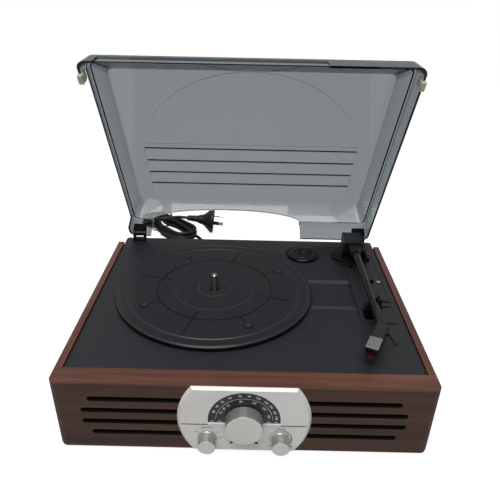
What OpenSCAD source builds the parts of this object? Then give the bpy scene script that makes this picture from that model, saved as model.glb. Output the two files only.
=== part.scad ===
// Stereo music centre: a record player on a wooden cabinet with a radio in its front panel.
// +X is the right-hand side as seen from the front, +Y goes towards the back, +Z is up.
// The origin lies on the table, in the middle of the footprint with the lid open.
// Inside the modules Y counts from the front panel's face, and home() moves it to the origin.

/* [Cabinet] */
// Width of the cabinet
cab_w = 350; // [340:5:430]
// Depth of the wooden side walls, from the front face to their back ends
cab_d = 280; // [270:5:340]
// Height of the wood's top edge above the table
cab_top = 82; // [80:1:110]
// Thickness of the front panel
front_t = 21; // [17:1:22]
// Thickness of the side walls
side_t = 7; // [5:0.5:10]
// Radius of the front panel's upright edges
edge_r = 7; // [3:1:9]
// Thickness of the bottom panel
bottom_t = 5; // [3:0.5:6]
// How far the black rear part reaches behind the wood
rear_d = 16; // [14:1:24]
// Wall of the black back cover
cover_t = 3; // [2:0.5:4]
// Height of the wood's lower edge above the table
foot_h = 4; // [3:1:6]
// Radius of a foot
foot_r = 10; // [8:1:12]

/* [Sound slots] */
// Height of one sound slot
slot_h = 5.6; // [4:0.2:7]
// Distance from one slot to the next
slot_pitch = 13.5; // [11:0.5:15]
// Inset of the outer ends of the upper and lower slots from the cabinet's side
slot_inset_far = 33; // [30:1:40]
// Inset of the outer ends of the two middle slots
slot_inset_near = 25.7; // [22:0.5:28]
// Radius of a loudspeaker's flange
speaker_r = 30; // [26:1:31]

/* [Radio] */
// Radius of the silver front plate before its top and bottom are cut flat
plate_r = 61.5; // [58:0.5:66]
// Thickness of the front plate
plate_t = 3; // [2.4:0.2:4]
// Radius of the dial scale
dial_r = 33.3; // [28:0.5:36]
// Radius of the tuning knob at its base
tune_r = 17.7; // [14:0.5:20]
// How far the tuning knob stands out of the plate
tune_h = 13.2; // [10:0.5:18]
// Radius of a small knob at its base
knob_r = 9; // [7:0.5:10]
// How far a small knob stands out of the plate
knob_h = 13; // [10:0.5:18]
// Distance of the small knobs' axes from the middle
knob_x = 34; // [31:0.5:38]
// Radius of the knobs' shafts
shaft_r = 3; // [2:0.5:3.5]

/* [Deck and platter] */
// How far the deck lies below the wood's top edge
deck_drop = 2; // [1:0.5:4]
// Thickness of the deck moulding
deck_t = 3; // [2.5:0.5:4]
// Distance of the spindle from the cabinet's left side
spindle_in = 137.3; // [134:1:150]
// Distance of the spindle from the front face
spindle_y = 160.6; // [155:1:175]
// Diameter of the spindle
spindle_d = 7.1; // [7:0.05:7.2]
// Radius of the platter
platter_r = 111; // [105:1:112]
// Height of the platter's top above the deck
platter_top = 6; // [5:0.5:8]
// How far the platter reaches over the edge of the record well
well_lap = 9; // [8:1:15]
// Depth of the record well
well_d = 8; // [7:0.5:10]
// Radius of the motor pulley where the belt runs
pulley_r = 5.5; // [4:0.5:8]
// Height of the arm strip that is raised on the deck
strip_h = 1.2; // [0.8:0.1:2]

/* [Tonearm] */
// Sideways distance from the spindle to the arm's pivot
pivot_dx = 171.5; // [168:0.5:176]
// Distance from the spindle back to the arm's pivot
pivot_dy = 97.5; // [92:0.5:104]
// Height of the arm's axis above the deck
arm_h = 18; // [17.5:0.5:22]
// Distance from the pivot to the elbow in front of the headshell
elbow_l = 185; // [170:1:190]
// Angle between the headshell and the tube
head_angle = 25.5; // [18:0.5:28]
// Radius of the arm disc on the deck
arm_disc_r = 24; // [22:0.5:26]
// Radius of the tube at its rear end
tube_r = 4.35; // [3.5:0.1:5]

/* [Lid] */
// Angle of the open lid, counted from closed
lid_open = 60.5; // [50:0.5:75]
// Wall of the lid
lid_t = 2.4; // [1.8:0.1:3]
// Half the width of the lid is the cabinet's half width less this
lid_inset = 13; // [10:1:16]
// Height of the lid's top plate above the hinge axis
lid_h = 44; // [40:1:60]
// Height of the lid's shoulder above the hinge axis
shoulder_h = 18; // [16:1:22]
// How far the lid's front slopes back from its rim to the top plate
front_slope = 27.5; // [20:0.5:40]

/* [Fits] */
// Radial clearance of a running fit
fit = 0.05; // [0.02:0.01:0.1]
// Gap between pieces that only pass each other
gap = 0.3; // [0.25:0.05:0.5]

/* [Hidden] */
$fn = 96;

wood_face = "#45352f";
wood_side = "#6b4a3e";
black = "#1d1d1f";
charcoal = "#37383c";
silver = "#c9c9c7";
steel = "#b8bbbf";
board_green = "#2f5d3a";
smoke = [0.35, 0.4, 0.47, 0.5];

// Cabinet
half_w = cab_w / 2;
in_x = half_w - side_t;
rear_y = cab_d + rear_d;
deck_z = cab_top - deck_drop;
deck_under = deck_z - deck_t;
floor_z = foot_h + 1;
floor_top = floor_z + bottom_t;
deck_gap = 0.8;
deck_x = in_x - deck_gap;
deck_back = rear_y + 1;
foot_x = half_w - 32;
foot_ys = [32, cab_d - 24];
block_w = 16;
block_d = 18;
block_ys = [front_t, cab_d - 30];
screw_r = 1.75;

// Sound slots and loudspeakers
slot_n = 4;
slot_mid_z = (cab_top + foot_h) / 2 + 0.5;
slot_in = 52;
cloth_t = 0.6;
cloth_x = in_x - block_w - slot_in - 4.5;
speaker_x = half_w - 63;
speaker_y = front_t + cloth_t;
speaker_d = 22;
magnet_d = 10;

// Radio
plate_z = (cab_top + foot_h) / 2;
plate_half = (cab_top - foot_h) / 2;
plate_chamfer = plate_t - 0.6;
tune_z = plate_z + 1;
dial_bottom = tune_z - 3.3;
groove_z = dial_bottom - 2.4;
knob_z = plate_z - 21.3;
light_x = 11.7;
light_z = plate_z - 27.3;
light_r = 1.5;
dial_recess = 1;
radio_open_x = 46;
radio_open_low = 12;
radio_open_high = cab_top - 10;
knob_gap = 0.4;
part_y = 9;
shaft_end = part_y + 7.5;
board_t = 1.6;

// Deck and platter
spindle_x = spindle_in - half_w;
spindle_r = spindle_d / 2;
spindle_top = deck_z + 24;
well_r = platter_r - well_lap;
well_z = deck_z - well_d;
well_floor = 2.5;
boss_top = well_z + 2;
platter_z = deck_z + platter_top;
platter_under = platter_z - 3;
channel_r = platter_r - 12.5;
pad_at = platter_r - 27.5;
ring_r = platter_r - 45.7;
rib_r = well_r - 32;
belt_t = 0.8;
belt_h = 4.2;
belt_z = well_z + 3;
pulley_dist = well_r - 14;
pulley_angle = 135;
motor_r = 16;
adapter_x = spindle_x + 109.2;
adapter_y = spindle_y + 96.4;
adapter_r = 19;
seat_r = 23.2;
recess_y = [spindle_y - 31.5, spindle_y + 31.5];
recess_ramp = [8.5, 5.5];
recess_d = 1.5;
strip_z = deck_z + strip_h;

// Tonearm
pivot_x = spindle_x + pivot_dx;
pivot_y = spindle_y + pivot_dy;
arm_z = deck_z + arm_h;
strip_x = [pivot_x - 12, pivot_x + 26];
strip_y = [spindle_y - 56.6, pivot_y + 4];
pedestal_r = 11;
pin_r = 1.5;
box_x = 11.7;
box_front = -16;
box_back = 15;
box_low = -5;
box_high = 8;
box_wall = 1.6;
tube_start = -24;
tube_end = -146;
tube_tip_r = 3.5;
head_w = 12.5;
head_l = 24;
cartridge_l = 20;
rest_y = -138;
rest_lip = tube_tip_r + 0.5;
clip_x = 7.2;
clip_z = 2.4;
clip_l = 11;
cue_x = 16;
cue_y = -1;
cue_z = 8;
cue_bar_r = 36;
cue_bar_top = deck_z + 10;
mark_at = [pivot_x + 15.1, spindle_y - 1.2];
mark_w = 2.6;
speed_x = pivot_x + 14.3;
speed_y = spindle_y + 29.4;
stop_x = pivot_x + 14;
stop_y = spindle_y - 26;
switch_travel = 8;

// Lid, measured from the hinge axis: u runs forward along the closed lid, w runs up
hinge_y = rear_y;
hinge_z = cab_top + 6;
lid_x = half_w - lid_inset;
lid_front = hinge_y - front_t + 2;
lid_back = -1.2;
skirt_low = -4;
fold_front = lid_front - 11.5;
rim_front = fold_front - 6.5;
plate_front = rim_front - front_slope;
rim_x = lid_x - 5.7;
rim_back = 8;
top_x = rim_x - 6.3;
top_back = 18.5;
notch_w = shoulder_h - 3.7;
hinge_x = lid_x - 12.5;
hinge_w = 17;
knuckle_r = 3.8;
cheek_r = 4.2;
cheek_t = 2.8;
leaf_h = 7;
emboss = 0.4;
step_h = 2;
bumper_l = 9.5;
step_n = 4;
step_first = 116;
step_pitch = 21.4;
dome_r = 133.5;
dome_u = 96.5;
dome_cut = 126;
arch_x = spindle_x + 5.7;
arch_half = 102;
arch_h = 15;

// The footprint reaches from the small knobs to the open lid's back edge
lid_reach = hinge_y - (top_back - lid_t) * cos(lid_open) + (lid_h + lid_t) * sin(lid_open);
mid_y = (lid_reach - plate_t - max(tune_h, knob_h)) / 2;

// Mains lead
cord_r = 2.5;
cord_z = 2.4;
cord_sides = 8;
exit_x = -45;
exit_z = 22;
relief_l = 24;
// Route of the free cord from the strain relief towards the hank, chosen by hand, in mm
CORD_ROUTE = [[-45, 320, 22], [-45, 325, 22], [-45.1, 333, 20.9], [-45.4, 340.5, 17.8],
    [-46, 347.2, 12.2], [-47, 354, 6.6], [-48.6, 361.5, 3.4], [-50.8, 370, 2.4], [-54, 382, 2.4],
    [-57.6, 394, 2.4], [-61.6, 406, 2.4], [-65.9, 418, 2.4], [-70.6, 430, 2.4], [-76, 442, 2.4],
    [-82.2, 453.2, 2.4], [-89, 463.4, 2.4]];
// Route from the hank over its top to the plug's neck
PLUG_ROUTE = [[-154.5, 480.6, 28.2], [-148.5, 479.8, 28.7], [-142.7, 480.7, 29], [-132.3, 484.5, 29],
    [-123, 487.9, 28.4], [-115.2, 489.5, 27.2], [-109.2, 489.5, 26.6]];
// Hank: runs joined by half turns, in four layers that lie on one another
hank_at = [-140, 485];
hank_turn = -45;
run_l = 75;
run_last = 12;
last_share = 0.273;
turn_r_min = 15;
hank_step = 6.2;
layer_h = 5.6;
layer_runs = 3;
waist_at = -22;
waist_in = 8;
waist_l = 27;
waist_lift = 1.7;
plug_at = [-109.2, 489.5, 26.6];
plug_tilt = 5.7;
plug_roll = 36;
plug_r = 21.5;

// Moves Y from the front panel's face to the origin
module home() {
    translate([0, -mid_y, 0]) children();
}

// Cylinder along +Y that starts at the origin
module rod_y(r, l) {
    rotate([-90, 0, 0]) cylinder(r = r, h = l);
}

// Cylinder along X, centred on the origin
module rod_x(r, l) {
    rotate([0, 90, 0]) cylinder(r = r, h = l, center = true);
}

// Solid of revolution about Y from points [radius, y]
module turned_y(points) {
    rotate([-90, 0, 0]) rotate_extrude() polygon(points);
}

// Flat plate with true round corners, from x0, y0 to x1, y1
module round_plate(x0, y0, x1, y1, h, r) {
    linear_extrude(h) union() {
        translate([x0 + r, y0]) square([x1 - x0 - 2 * r, y1 - y0]);
        translate([x0, y0 + r]) square([x1 - x0, y1 - y0 - 2 * r]);
        for (x = [x0 + r, x1 - r]) for (y = [y0 + r, y1 - r]) translate([x, y]) circle(r);
    }
}

// ---- Cabinet ----

// Front panel seen from above: its two front edges are round
module panel_plan() {
    translate([-half_w, edge_r]) square([cab_w, front_t - edge_r]);
    translate([edge_r - half_w, 0]) square([cab_w - 2 * edge_r, edge_r + 1]);
    for (side = [-1, 1]) translate([side * (half_w - edge_r), edge_r]) circle(edge_r);
}

// Front panel seen from the front: its two lower corners are round
module panel_elevation() {
    low_r = edge_r - 1;
    translate([-half_w, low_r + foot_h]) square([cab_w, cab_top - foot_h - low_r]);
    translate([low_r - half_w, foot_h]) square([cab_w - 2 * low_r, low_r + 1]);
    for (side = [-1, 1]) translate([side * (half_w - low_r), low_r + foot_h]) circle(low_r);
}

// One sound slot with round ends, cut right through the panel
module sound_slot(side, i) {
    middle = i == 1 || i == 2;
    outer = half_w - (middle ? slot_inset_near : slot_inset_far) - slot_h / 2;
    z = slot_mid_z + slot_pitch * ((slot_n - 1) / 2 - i);
    translate([side > 0 ? slot_in : -outer, -1, z - slot_h / 2])
        cube([outer - slot_in, front_t + 2, slot_h]);
    for (x = [slot_in, outer]) translate([side * x, -1, z]) rod_y(slot_h / 2, front_t + 2);
}

module front_panel() {
    color(wood_face) home() difference() {
        intersection() {
            translate([0, 0, foot_h]) linear_extrude(cab_top - foot_h) panel_plan();
            rotate([90, 0, 0]) translate([0, 0, -front_t]) linear_extrude(front_t) panel_elevation();
        }
        for (side = [-1, 1]) for (i = [0:slot_n - 1]) sound_slot(side, i);
        translate([-radio_open_x, -1, radio_open_low])
            cube([2 * radio_open_x, front_t + 2, radio_open_high - radio_open_low]);
    }
}

module side_wall(side) {
    x = side > 0 ? in_x : -half_w;
    color(wood_side) home() translate([x, front_t, foot_h])
        cube([side_t, cab_d - front_t, cab_top - foot_h]);
}

module side_wall_left() {
    side_wall(-1);
}

module side_wall_right() {
    side_wall(1);
}

// Places its children at each case screw
module at_screws() {
    for (x = [-1, 1]) for (y = block_ys)
        translate([x * (in_x - block_w / 2), y + block_d / 2, 0]) children();
}

module bottom_panel() {
    color(wood_side) home() difference() {
        translate([-in_x, front_t, floor_z]) cube([2 * in_x, rear_y - cover_t - front_t, bottom_t]);
        at_screws() translate([0, 0, floor_z - 1]) cylinder(r = screw_r + 0.3, h = bottom_t + 2);
        at_screws() translate([0, 0, floor_z - 1]) cylinder(r = 4.3, h = 2.8);
    }
}

module back_cover() {
    wall_x = in_x - 0.6;
    vent_n = 9;
    color(black) home() difference() {
        union() {
            translate([-wall_x, rear_y - cover_t, foot_h]) cube([2 * wall_x, cover_t, deck_under - foot_h]);
            for (x = [-wall_x, wall_x - cover_t]) translate([x, cab_d - 8, floor_top])
                cube([cover_t, rear_d + 7, deck_under - floor_top]);
        }
        translate([exit_x, rear_y - cover_t - 1, exit_z]) rod_y(5.2, cover_t + 2);
        for (i = [0:vent_n - 1]) translate([60 + i * 6, rear_y - cover_t - 1, 28])
            cube([2.6, cover_t + 2, 26]);
    }
}

module feet() {
    color(black) home() for (x = [-foot_x, foot_x]) for (y = foot_ys) translate([x, y, 0])
        rotate_extrude() polygon([[3.5, 0], [foot_r - 1.6, 0], [foot_r - 0.8, 0.8], [foot_r, floor_z],
            [0, floor_z], [0, 2.5], [3.5, 2.5]]);
}

module corner_blocks() {
    color("#b79a6d") home() difference() {
        for (x = [-in_x, in_x - block_w]) for (y = block_ys) translate([x, y, floor_top])
            cube([block_w, block_d, deck_under - floor_top]);
        at_screws() translate([0, 0, floor_top - 1]) cylinder(r = screw_r, h = 17);
    }
}

module case_screws() {
    color(steel) home() at_screws() union() {
        translate([0, 0, floor_z + 0.2]) cylinder(r = 3.6, h = 1.6);
        translate([0, 0, floor_z + 1.8]) cylinder(r = screw_r, h = bottom_t + 12);
    }
}

// ---- Sound ----

module grille_cloth() {
    color(black) home() for (side = [-1, 1])
        translate([side > 0 ? slot_in + 4 : -slot_in - 4 - cloth_x, front_t, slot_mid_z - 29])
            cube([cloth_x, cloth_t, 58]);
}

// Places its children on each loudspeaker's axis, Y backwards from its flange
module at_speakers() {
    for (side = [-1, 1]) translate([side * speaker_x, speaker_y, slot_mid_z]) children();
}

module speaker_frames() {
    lip = speaker_r - 3.5;
    neck = 15;
    color("#3a3a3d") home() at_speakers() difference() {
        turned_y([[lip, 0], [speaker_r, 0], [speaker_r, 2], [speaker_r - 1.5, 2],
            [neck + 1.5, speaker_d - 2], [neck + 1.5, speaker_d], [6, speaker_d], [6, speaker_d - 1.6],
            [neck, speaker_d - 1.6], [lip, 3]]);
        for (a = [45:90:315]) rotate([0, a, 0]) translate([neck + 5, 6, -4]) cube([5, 11, 8]);
    }
}

module speaker_cones() {
    lip = speaker_r - 3.7;
    color("#4b4a48") home() at_speakers() union() {
        turned_y([[lip, 0.5], [lip, 1.3], [lip - 2.5, 2.2], [9, 14], [8, 13.4], [lip - 3, 1.2]]);
        turned_y([[0, 10.2], [4, 10.7], [7.2, 12.3], [8.6, 13.5], [8, 14.2], [6.6, 13], [3.6, 11.5],
            [0, 11]]);
    }
}

module speaker_magnets() {
    color(steel) home() at_speakers() translate([0, speaker_d, 0])
        turned_y([[0, 0], [13, 0], [13, 1.5], [15.5, 1.5], [15.5, magnet_d - 2], [13, magnet_d - 2],
            [13, magnet_d], [0, magnet_d]]);
}

// ---- Radio ----

// Front plate outline: a chamfered disc crossed with a bar whose top and bottom are chamfered
module plate_body() {
    c = plate_chamfer;
    intersection() {
        translate([0, 0, plate_z]) turned_y([[0, 0], [plate_r, 0], [plate_r, c - plate_t],
            [plate_r - c, -plate_t], [0, -plate_t]]);
        translate([-plate_r - 1, 0, plate_z]) rotate([90, 0, 90]) linear_extrude(2 * plate_r + 2)
            polygon([[0, -plate_half], [0, plate_half], [c - plate_t, plate_half], [-plate_t, plate_half - c],
                [-plate_t, c - plate_half], [c - plate_t, -plate_half]]);
    }
}

module radio_plate() {
    groove_x = plate_r - 4;
    color(silver) home() difference() {
        union() {
            plate_body();
            for (side = [-1, 1])
                translate([side > 0 ? tune_r + 1 : -dial_r, -plate_t - 0.8, dial_bottom - 1.7])
                    cube([dial_r - tune_r - 1, 1.2, 1.5]);
        }
        intersection() {
            translate([0, -plate_t - 1, tune_z]) rod_y(dial_r, dial_recess + 1);
            translate([-dial_r - 1, -plate_t - 1, dial_bottom])
                cube([2 * dial_r + 2, dial_recess + 1, 2 * dial_r]);
        }
        for (side = [-1, 1]) translate([side > 0 ? dial_r : -groove_x, -plate_t - 1, groove_z - 0.6])
            cube([groove_x - dial_r, 1.7, 1.2]);
        translate([0, -plate_t - 1, tune_z]) rod_y(shaft_r + 1, plate_t + 2);
        for (side = [-1, 1]) {
            translate([side * knob_x, -plate_t - 1, knob_z]) rod_y(shaft_r + 1, plate_t + 2);
            translate([side * light_x, -plate_t - 1, light_z]) rod_y(light_r + 0.2, plate_t + 2);
        }
    }
}

module dial_scale() {
    color("#23242b") home() difference() {
        translate([0, 0.5 - plate_t, tune_z]) rod_y(dial_r - 0.1, dial_recess - 0.5);
        translate([-dial_r - 1, -plate_t, tune_z - dial_r - 1]) cube([2 * dial_r + 2, plate_t, dial_r - 2.2]);
        translate([0, -plate_t, tune_z]) rod_y(shaft_r + 1, plate_t);
    }
}

module indicator_lights() {
    color("#3a1714") home() for (side = [-1, 1]) translate([side * light_x, 0, light_z])
        turned_y([[0, -plate_t - 0.4], [1, -plate_t - 0.1], [light_r, 0.6 - plate_t], [light_r, 3],
            [0.9, 3], [0.9, front_t], [0, front_t]]);
}

module tuner_board() {
    color(board_green) home() translate([-slot_in, front_t, radio_open_low - 1])
        cube([2 * slot_in, board_t, radio_open_high - radio_open_low + 2]);
}

// Body of a control: it stands on the tuner board and its bore takes the knob's shaft
module control_bore() {
    translate([0, part_y - 1, 0]) rod_y(shaft_r + fit, shaft_end - part_y + 1.5);
}

module tuning_capacitor() {
    color("#d8d4c4") home() translate([0, 0, tune_z]) difference() {
        union() {
            translate([-11, part_y + 3, -11]) cube([22, front_t - part_y - 3, 22]);
            translate([0, part_y, 0]) rod_y(6, 4);
        }
        control_bore();
    }
}

module volume_control() {
    color(steel) home() translate([knob_x, 0, knob_z]) difference() {
        union() {
            translate([0, part_y + 3, 0]) rod_y(8.4, front_t - part_y - 3);
            translate([0, part_y, 0]) rod_y(5, 4);
        }
        control_bore();
    }
}

module band_switch() {
    color("#6c6a60") home() translate([-knob_x, 0, knob_z]) difference() {
        union() {
            translate([-9, part_y + 3, -8]) cube([18, front_t - part_y - 3, 16]);
            translate([0, part_y, 0]) rod_y(5, 4);
        }
        control_bore();
    }
}

module tuning_knob() {
    front = -plate_t - tune_h;
    back = -plate_t - knob_gap;
    color(silver) home() translate([0, 0, tune_z]) turned_y([[0, front], [tune_r - 1.9, front],
        [tune_r - 1, front + 0.4], [tune_r - 0.7, front + 1.2], [tune_r, back], [tune_r - 1.6, back],
        [tune_r - 1.6, back - 4], [shaft_r + 3, back - 4], [shaft_r + 3, back], [shaft_r, back],
        [shaft_r, shaft_end], [0, shaft_end]]);
}

module small_knob() {
    front = -plate_t - knob_h;
    back = -plate_t - knob_gap;
    turned_y([[0, front], [knob_r - 1.6, front], [knob_r - 0.9, front + 0.5], [knob_r - 0.7, front + 1.4],
        [knob_r - 1.1, front + 2.4], [knob_r - 0.3, back - 1.6], [knob_r, back - 1.2], [knob_r, back],
        [shaft_r, back], [shaft_r, shaft_end], [0, shaft_end]]);
}

module volume_knob() {
    color(silver) home() translate([knob_x, 0, knob_z]) small_knob();
}

module band_knob() {
    color(silver) home() translate([-knob_x, 0, knob_z]) small_knob();
}

module main_board() {
    color(board_green) home() translate([-70, 60, floor_top]) {
        translate([0, 0, 6]) cube([120, 80, board_t]);
        for (x = [5, 115]) for (y = [5, 75]) translate([x, y, 0]) cylinder(r = 3, h = 6);
        for (x = [20, 42, 64]) translate([x, 20, 6 + board_t]) cylinder(r = 7, h = 20);
        translate([84, 12, 6 + board_t]) cube([26, 4, 26]);
        for (i = [0:3]) translate([20 + i * 16, 52, 6 + board_t]) cube([11, 11, 5]);
    }
}

module transformer() {
    color("#8d8f92") home() translate([70, 205, floor_top]) {
        cube([60, 40, 3]);
        translate([6, 2, 3]) cube([48, 36, 38]);
        translate([15, -5, 8]) cube([30, 50, 28]);
    }
}

// ---- Deck and platter ----

// Finger recess beside the platter: a shallow trough with sloping long sides
module finger_recess() {
    low = deck_z - recess_d;
    start = spindle_x + well_r - 12;
    translate([start, 0, 0]) rotate([90, 0, 90]) linear_extrude(strip_x[0] - start - 1)
        polygon([[recess_y[0], deck_z + 1], [recess_y[0], deck_z], [recess_y[0] + recess_ramp[0], low],
            [recess_y[1] - recess_ramp[1], low], [recess_y[1], deck_z], [recess_y[1], deck_z + 1]]);
}

// Where the motor pulley stands under the platter
module at_pulley() {
    translate([spindle_x + pulley_dist * cos(pulley_angle), spindle_y + pulley_dist * sin(pulley_angle), 0])
        children();
}

module deck() {
    pocket = [pivot_x - 8, pivot_y + rest_y - 10.5];
    color(charcoal) home() difference() {
        union() {
            translate([0, 0, deck_under])
                round_plate(-deck_x, front_t + deck_gap, deck_x, deck_back, deck_t, 3);
            translate([spindle_x, spindle_y, well_z - well_floor]) cylinder(r = well_r + 2.5, h = well_d);
            translate([spindle_x, spindle_y, well_z - 6]) cylinder(r = 9, h = 6);
            translate([adapter_x, adapter_y, deck_under - 2]) cylinder(r = seat_r + 1.5, h = 3);
            translate([0, 0, deck_z - 1])
                round_plate(strip_x[0], strip_y[0], strip_x[1], strip_y[1], strip_h + 1, 4);
            translate([pocket[0] - 1.5, pocket[1] - 1.5, deck_under - 4]) cube([19, 24, 5]);
        }
        difference() {
            translate([spindle_x, spindle_y, well_z]) cylinder(r = well_r, h = well_d + 3);
            translate([spindle_x, spindle_y, well_z - 1]) cylinder(r = 9, h = boss_top - well_z + 1);
        }
        translate([spindle_x, spindle_y, well_z - 7]) cylinder(r = spindle_r, h = 12);
        at_pulley() translate([0, 0, well_z - 4]) cylinder(r = 9, h = 6);
        finger_recess();
        translate([adapter_x, adapter_y, 0]) difference() {
            translate([0, 0, deck_z - 2.8]) cylinder(r1 = adapter_r + 1, r2 = seat_r + 0.8, h = 3.4);
            translate([0, 0, deck_z - 3]) cylinder(r = 3.4, h = 4);
        }
        translate([pivot_x, pivot_y, deck_z]) cylinder(r = arm_disc_r + 0.2, h = 3);
        translate([pocket[0], pocket[1], deck_under - 2.5]) cube([16, 21, 12]);
        translate([speed_x - 1.5, speed_y - switch_travel / 2 - 1.7, deck_under - 1])
            cube([3, switch_travel + 3.4, 8]);
        translate([stop_x - 1.7, stop_y - 1.5, deck_under - 1]) cube([switch_travel + 3.4, 3, 8]);
        translate([mark_at[0], mark_at[1], strip_z]) cube([mark_w, mark_w, 1.2], center = true);
        translate([strip_x[1] - 0.3, strip_y[0] + 22, deck_z - 0.8])
            cube([1.2, strip_y[1] - strip_y[0] - 25, strip_h + 2]);
        cue_post_at() translate([0, 0, deck_under - 1]) cylinder(r = 2 + fit, h = 8);
    }
}

module spindle() {
    color(steel) home() translate([spindle_x, spindle_y, 0]) rotate_extrude() polygon([[0, well_z - 9],
        [6, well_z - 9], [6, well_z - 6], [spindle_r, well_z - 6], [spindle_r, platter_z - 0.6],
        [spindle_r - 0.5, platter_z - 0.6], [spindle_r - 0.5, platter_z + 0.5], [spindle_r, platter_z + 0.5],
        [spindle_r, spindle_top - 3], [spindle_r - 0.25, spindle_top - 1.7],
        [spindle_r - 1, spindle_top - 0.7], [spindle_r - 2.1, spindle_top - 0.15], [0, spindle_top]]);
}

module spindle_clip() {
    color(black) home() translate([spindle_x, spindle_y, platter_z - 0.4]) difference() {
        cylinder(r = 6.2, h = 0.8);
        translate([0, 0, -1]) cylinder(r = spindle_r - 0.5, h = 3);
        translate([-1.4, -8, -1]) cube([2.8, 8, 3]);
    }
}

// Section of the platter as [radius, z], from the hub outwards and back along the underside
function platter_section() = let (t = platter_z, u = platter_under) [
    [spindle_r + fit, boss_top + gap], [8.5, boss_top + gap], [8.5, u], [rib_r - 2.5, u],
    [rib_r - 2.5, well_z + 1.6], [rib_r, well_z + 1.6], [rib_r, u], [platter_r - 2.6, u],
    [platter_r - 2.6, deck_z + 0.6], [platter_r, deck_z + 0.6], [platter_r, t - 1.4],
    [platter_r - 1.6, t], [platter_r - 4, t], [platter_r - 5, t - 0.8], [channel_r, t - 0.8],
    [channel_r - 1, t], [channel_r - 3.3, t], [channel_r - 3.9, t - 0.5], [ring_r - 18.8, t - 0.5],
    [ring_r - 21.8, t - 1.1], [18.5, t - 1.1], [17.5, t - 0.7], [spindle_r + fit, t - 0.7]];

module platter() {
    color(black) home() translate([spindle_x, spindle_y, 0]) difference() {
        union() {
            rotate_extrude($fn = 120) polygon(platter_section());
            for (a = [28.3:90:298.3]) rotate([0, 0, a]) translate([pad_at, 0, platter_z - 0.8])
                cylinder(r = 4.4, h = 0.8);
        }
        translate([0, 0, platter_z - 1]) difference() {
            cylinder(r = ring_r, h = 2);
            translate([0, 0, -1]) cylinder(r = ring_r - 1.2, h = 4);
        }
        for (a = [73.5:90:343.5]) rotate([0, 0, a])
            translate([ring_r - 13.3, -0.6, platter_z - 1]) cube([39, 1.2, 2]);
        for (a = [28.3:90:298.3]) rotate([0, 0, a]) {
            translate([ring_r - 0.3, -0.6, platter_z - 1]) cube([10.5, 1.2, 2]);
            translate([pad_at, 0, platter_z - 0.8]) cylinder(r1 = 1.5, r2 = 2.6, h = 1);
            translate([pad_at, 0, platter_z - 1.2]) difference() {
                cylinder(r = 5.2, h = 2);
                translate([0, 0, -1]) cylinder(r = 4.4, h = 4);
            }
        }
    }
}

// Two discs joined by their tangents, seen from above
module belt_outline(grow) {
    hull() {
        circle(rib_r + grow);
        rotate(pulley_angle) translate([pulley_dist, 0]) circle(pulley_r + grow);
    }
}

module drive_belt() {
    color("#141414") home() translate([spindle_x, spindle_y, belt_z]) linear_extrude(belt_h) difference() {
        belt_outline(fit + belt_t);
        belt_outline(fit);
    }
}

module motor() {
    color(steel) home() at_pulley() difference() {
        union() {
            translate([0, 0, well_z - well_floor - 21]) cylinder(r = motor_r, h = 21);
            translate([0, 0, well_z - well_floor]) cylinder(r = 4, h = 1.5);
        }
        translate([0, 0, well_z - well_floor - 6]) cylinder(r = 1 + fit, h = 9);
    }
}

module motor_pulley() {
    low = well_z + 1.8;
    color("#c9a35a") home() at_pulley() rotate_extrude() polygon([[0, well_z - well_floor - 5.5],
        [1, well_z - well_floor - 5.5], [1, low], [pulley_r + 1, low], [pulley_r + 1, low + 0.7],
        [pulley_r, low + 1], [pulley_r, low + 5.6], [pulley_r + 1, low + 5.9], [pulley_r + 1, low + 6.6],
        [0, low + 6.6]]);
}

module record_adapter() {
    low = deck_z - 2.5;
    color(black) home() translate([adapter_x, adapter_y, 0]) rotate_extrude() polygon([[3.6, low],
        [adapter_r - 1, low], [adapter_r, low + 1], [adapter_r, low + 3.2], [adapter_r - 0.8, low + 4],
        [13, low + 4], [12, low + 3.2], [10.5, low + 3.2], [9.8, low + 3.8], [5.4, low + 3.8], [4.6, low + 3],
        [3.6, low + 3]]);
}

// ---- Tonearm ----

// Places its children at the arm's pivot: Y runs back along the resting arm, Z from its axis
module at_pivot() {
    home() translate([pivot_x, pivot_y, arm_z]) children();
}

// Places its children at the elbow, with -Y along the headshell
module at_head() {
    at_pivot() translate([0.5, -elbow_l, 0]) rotate([0, 0, -head_angle]) children();
}

module arm_base() {
    low = deck_z - arm_z;
    color(charcoal) at_pivot() difference() {
        union() {
            translate([0, 0, low]) rotate_extrude() polygon([[0, 0], [arm_disc_r, 0], [arm_disc_r, 2.6],
                [arm_disc_r - 0.6, 3.7], [arm_disc_r - 2, 4.3], [0, 4.3]]);
            translate([0, 0, low + 4]) cylinder(r = pedestal_r, h = arm_h - 4 - 7);
            translate([-14, -20, low + 4]) cube([11, 9, 3.6]);
            for (x = [-4.2, 2.2]) translate([cue_x + x, cue_y - 3, low + 4]) cube([2, 6, 4]);
            for (x = [-4.2, 2.2]) translate([cue_x + x + 1, cue_y, low + cue_z]) rod_x(3, 2);
        }
        translate([0, 0, low - 1]) cylinder(r = 4, h = arm_h);
        translate([cue_x, cue_y, low + cue_z]) rod_x(1 + fit, 12);
    }
}

module arm_turret() {
    color(black) at_pivot() difference() {
        union() {
            translate([0, 0, gap - 7]) cylinder(r = 9.8, h = 2.2);
            translate([0, 0, -13]) cylinder(r = 4 - fit, h = 7);
            for (x = [-9, 6.5]) {
                translate([x, -4, -5]) cube([2.5, 8, 5]);
                translate([x + 1.25, 0, 0]) rod_x(4, 2.5);
            }
        }
        rod_x(pin_r, 2 * box_x);
    }
}

module arm_pivot_pin() {
    color(steel) at_pivot() rod_x(pin_r, 2 * box_x);
}

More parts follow.
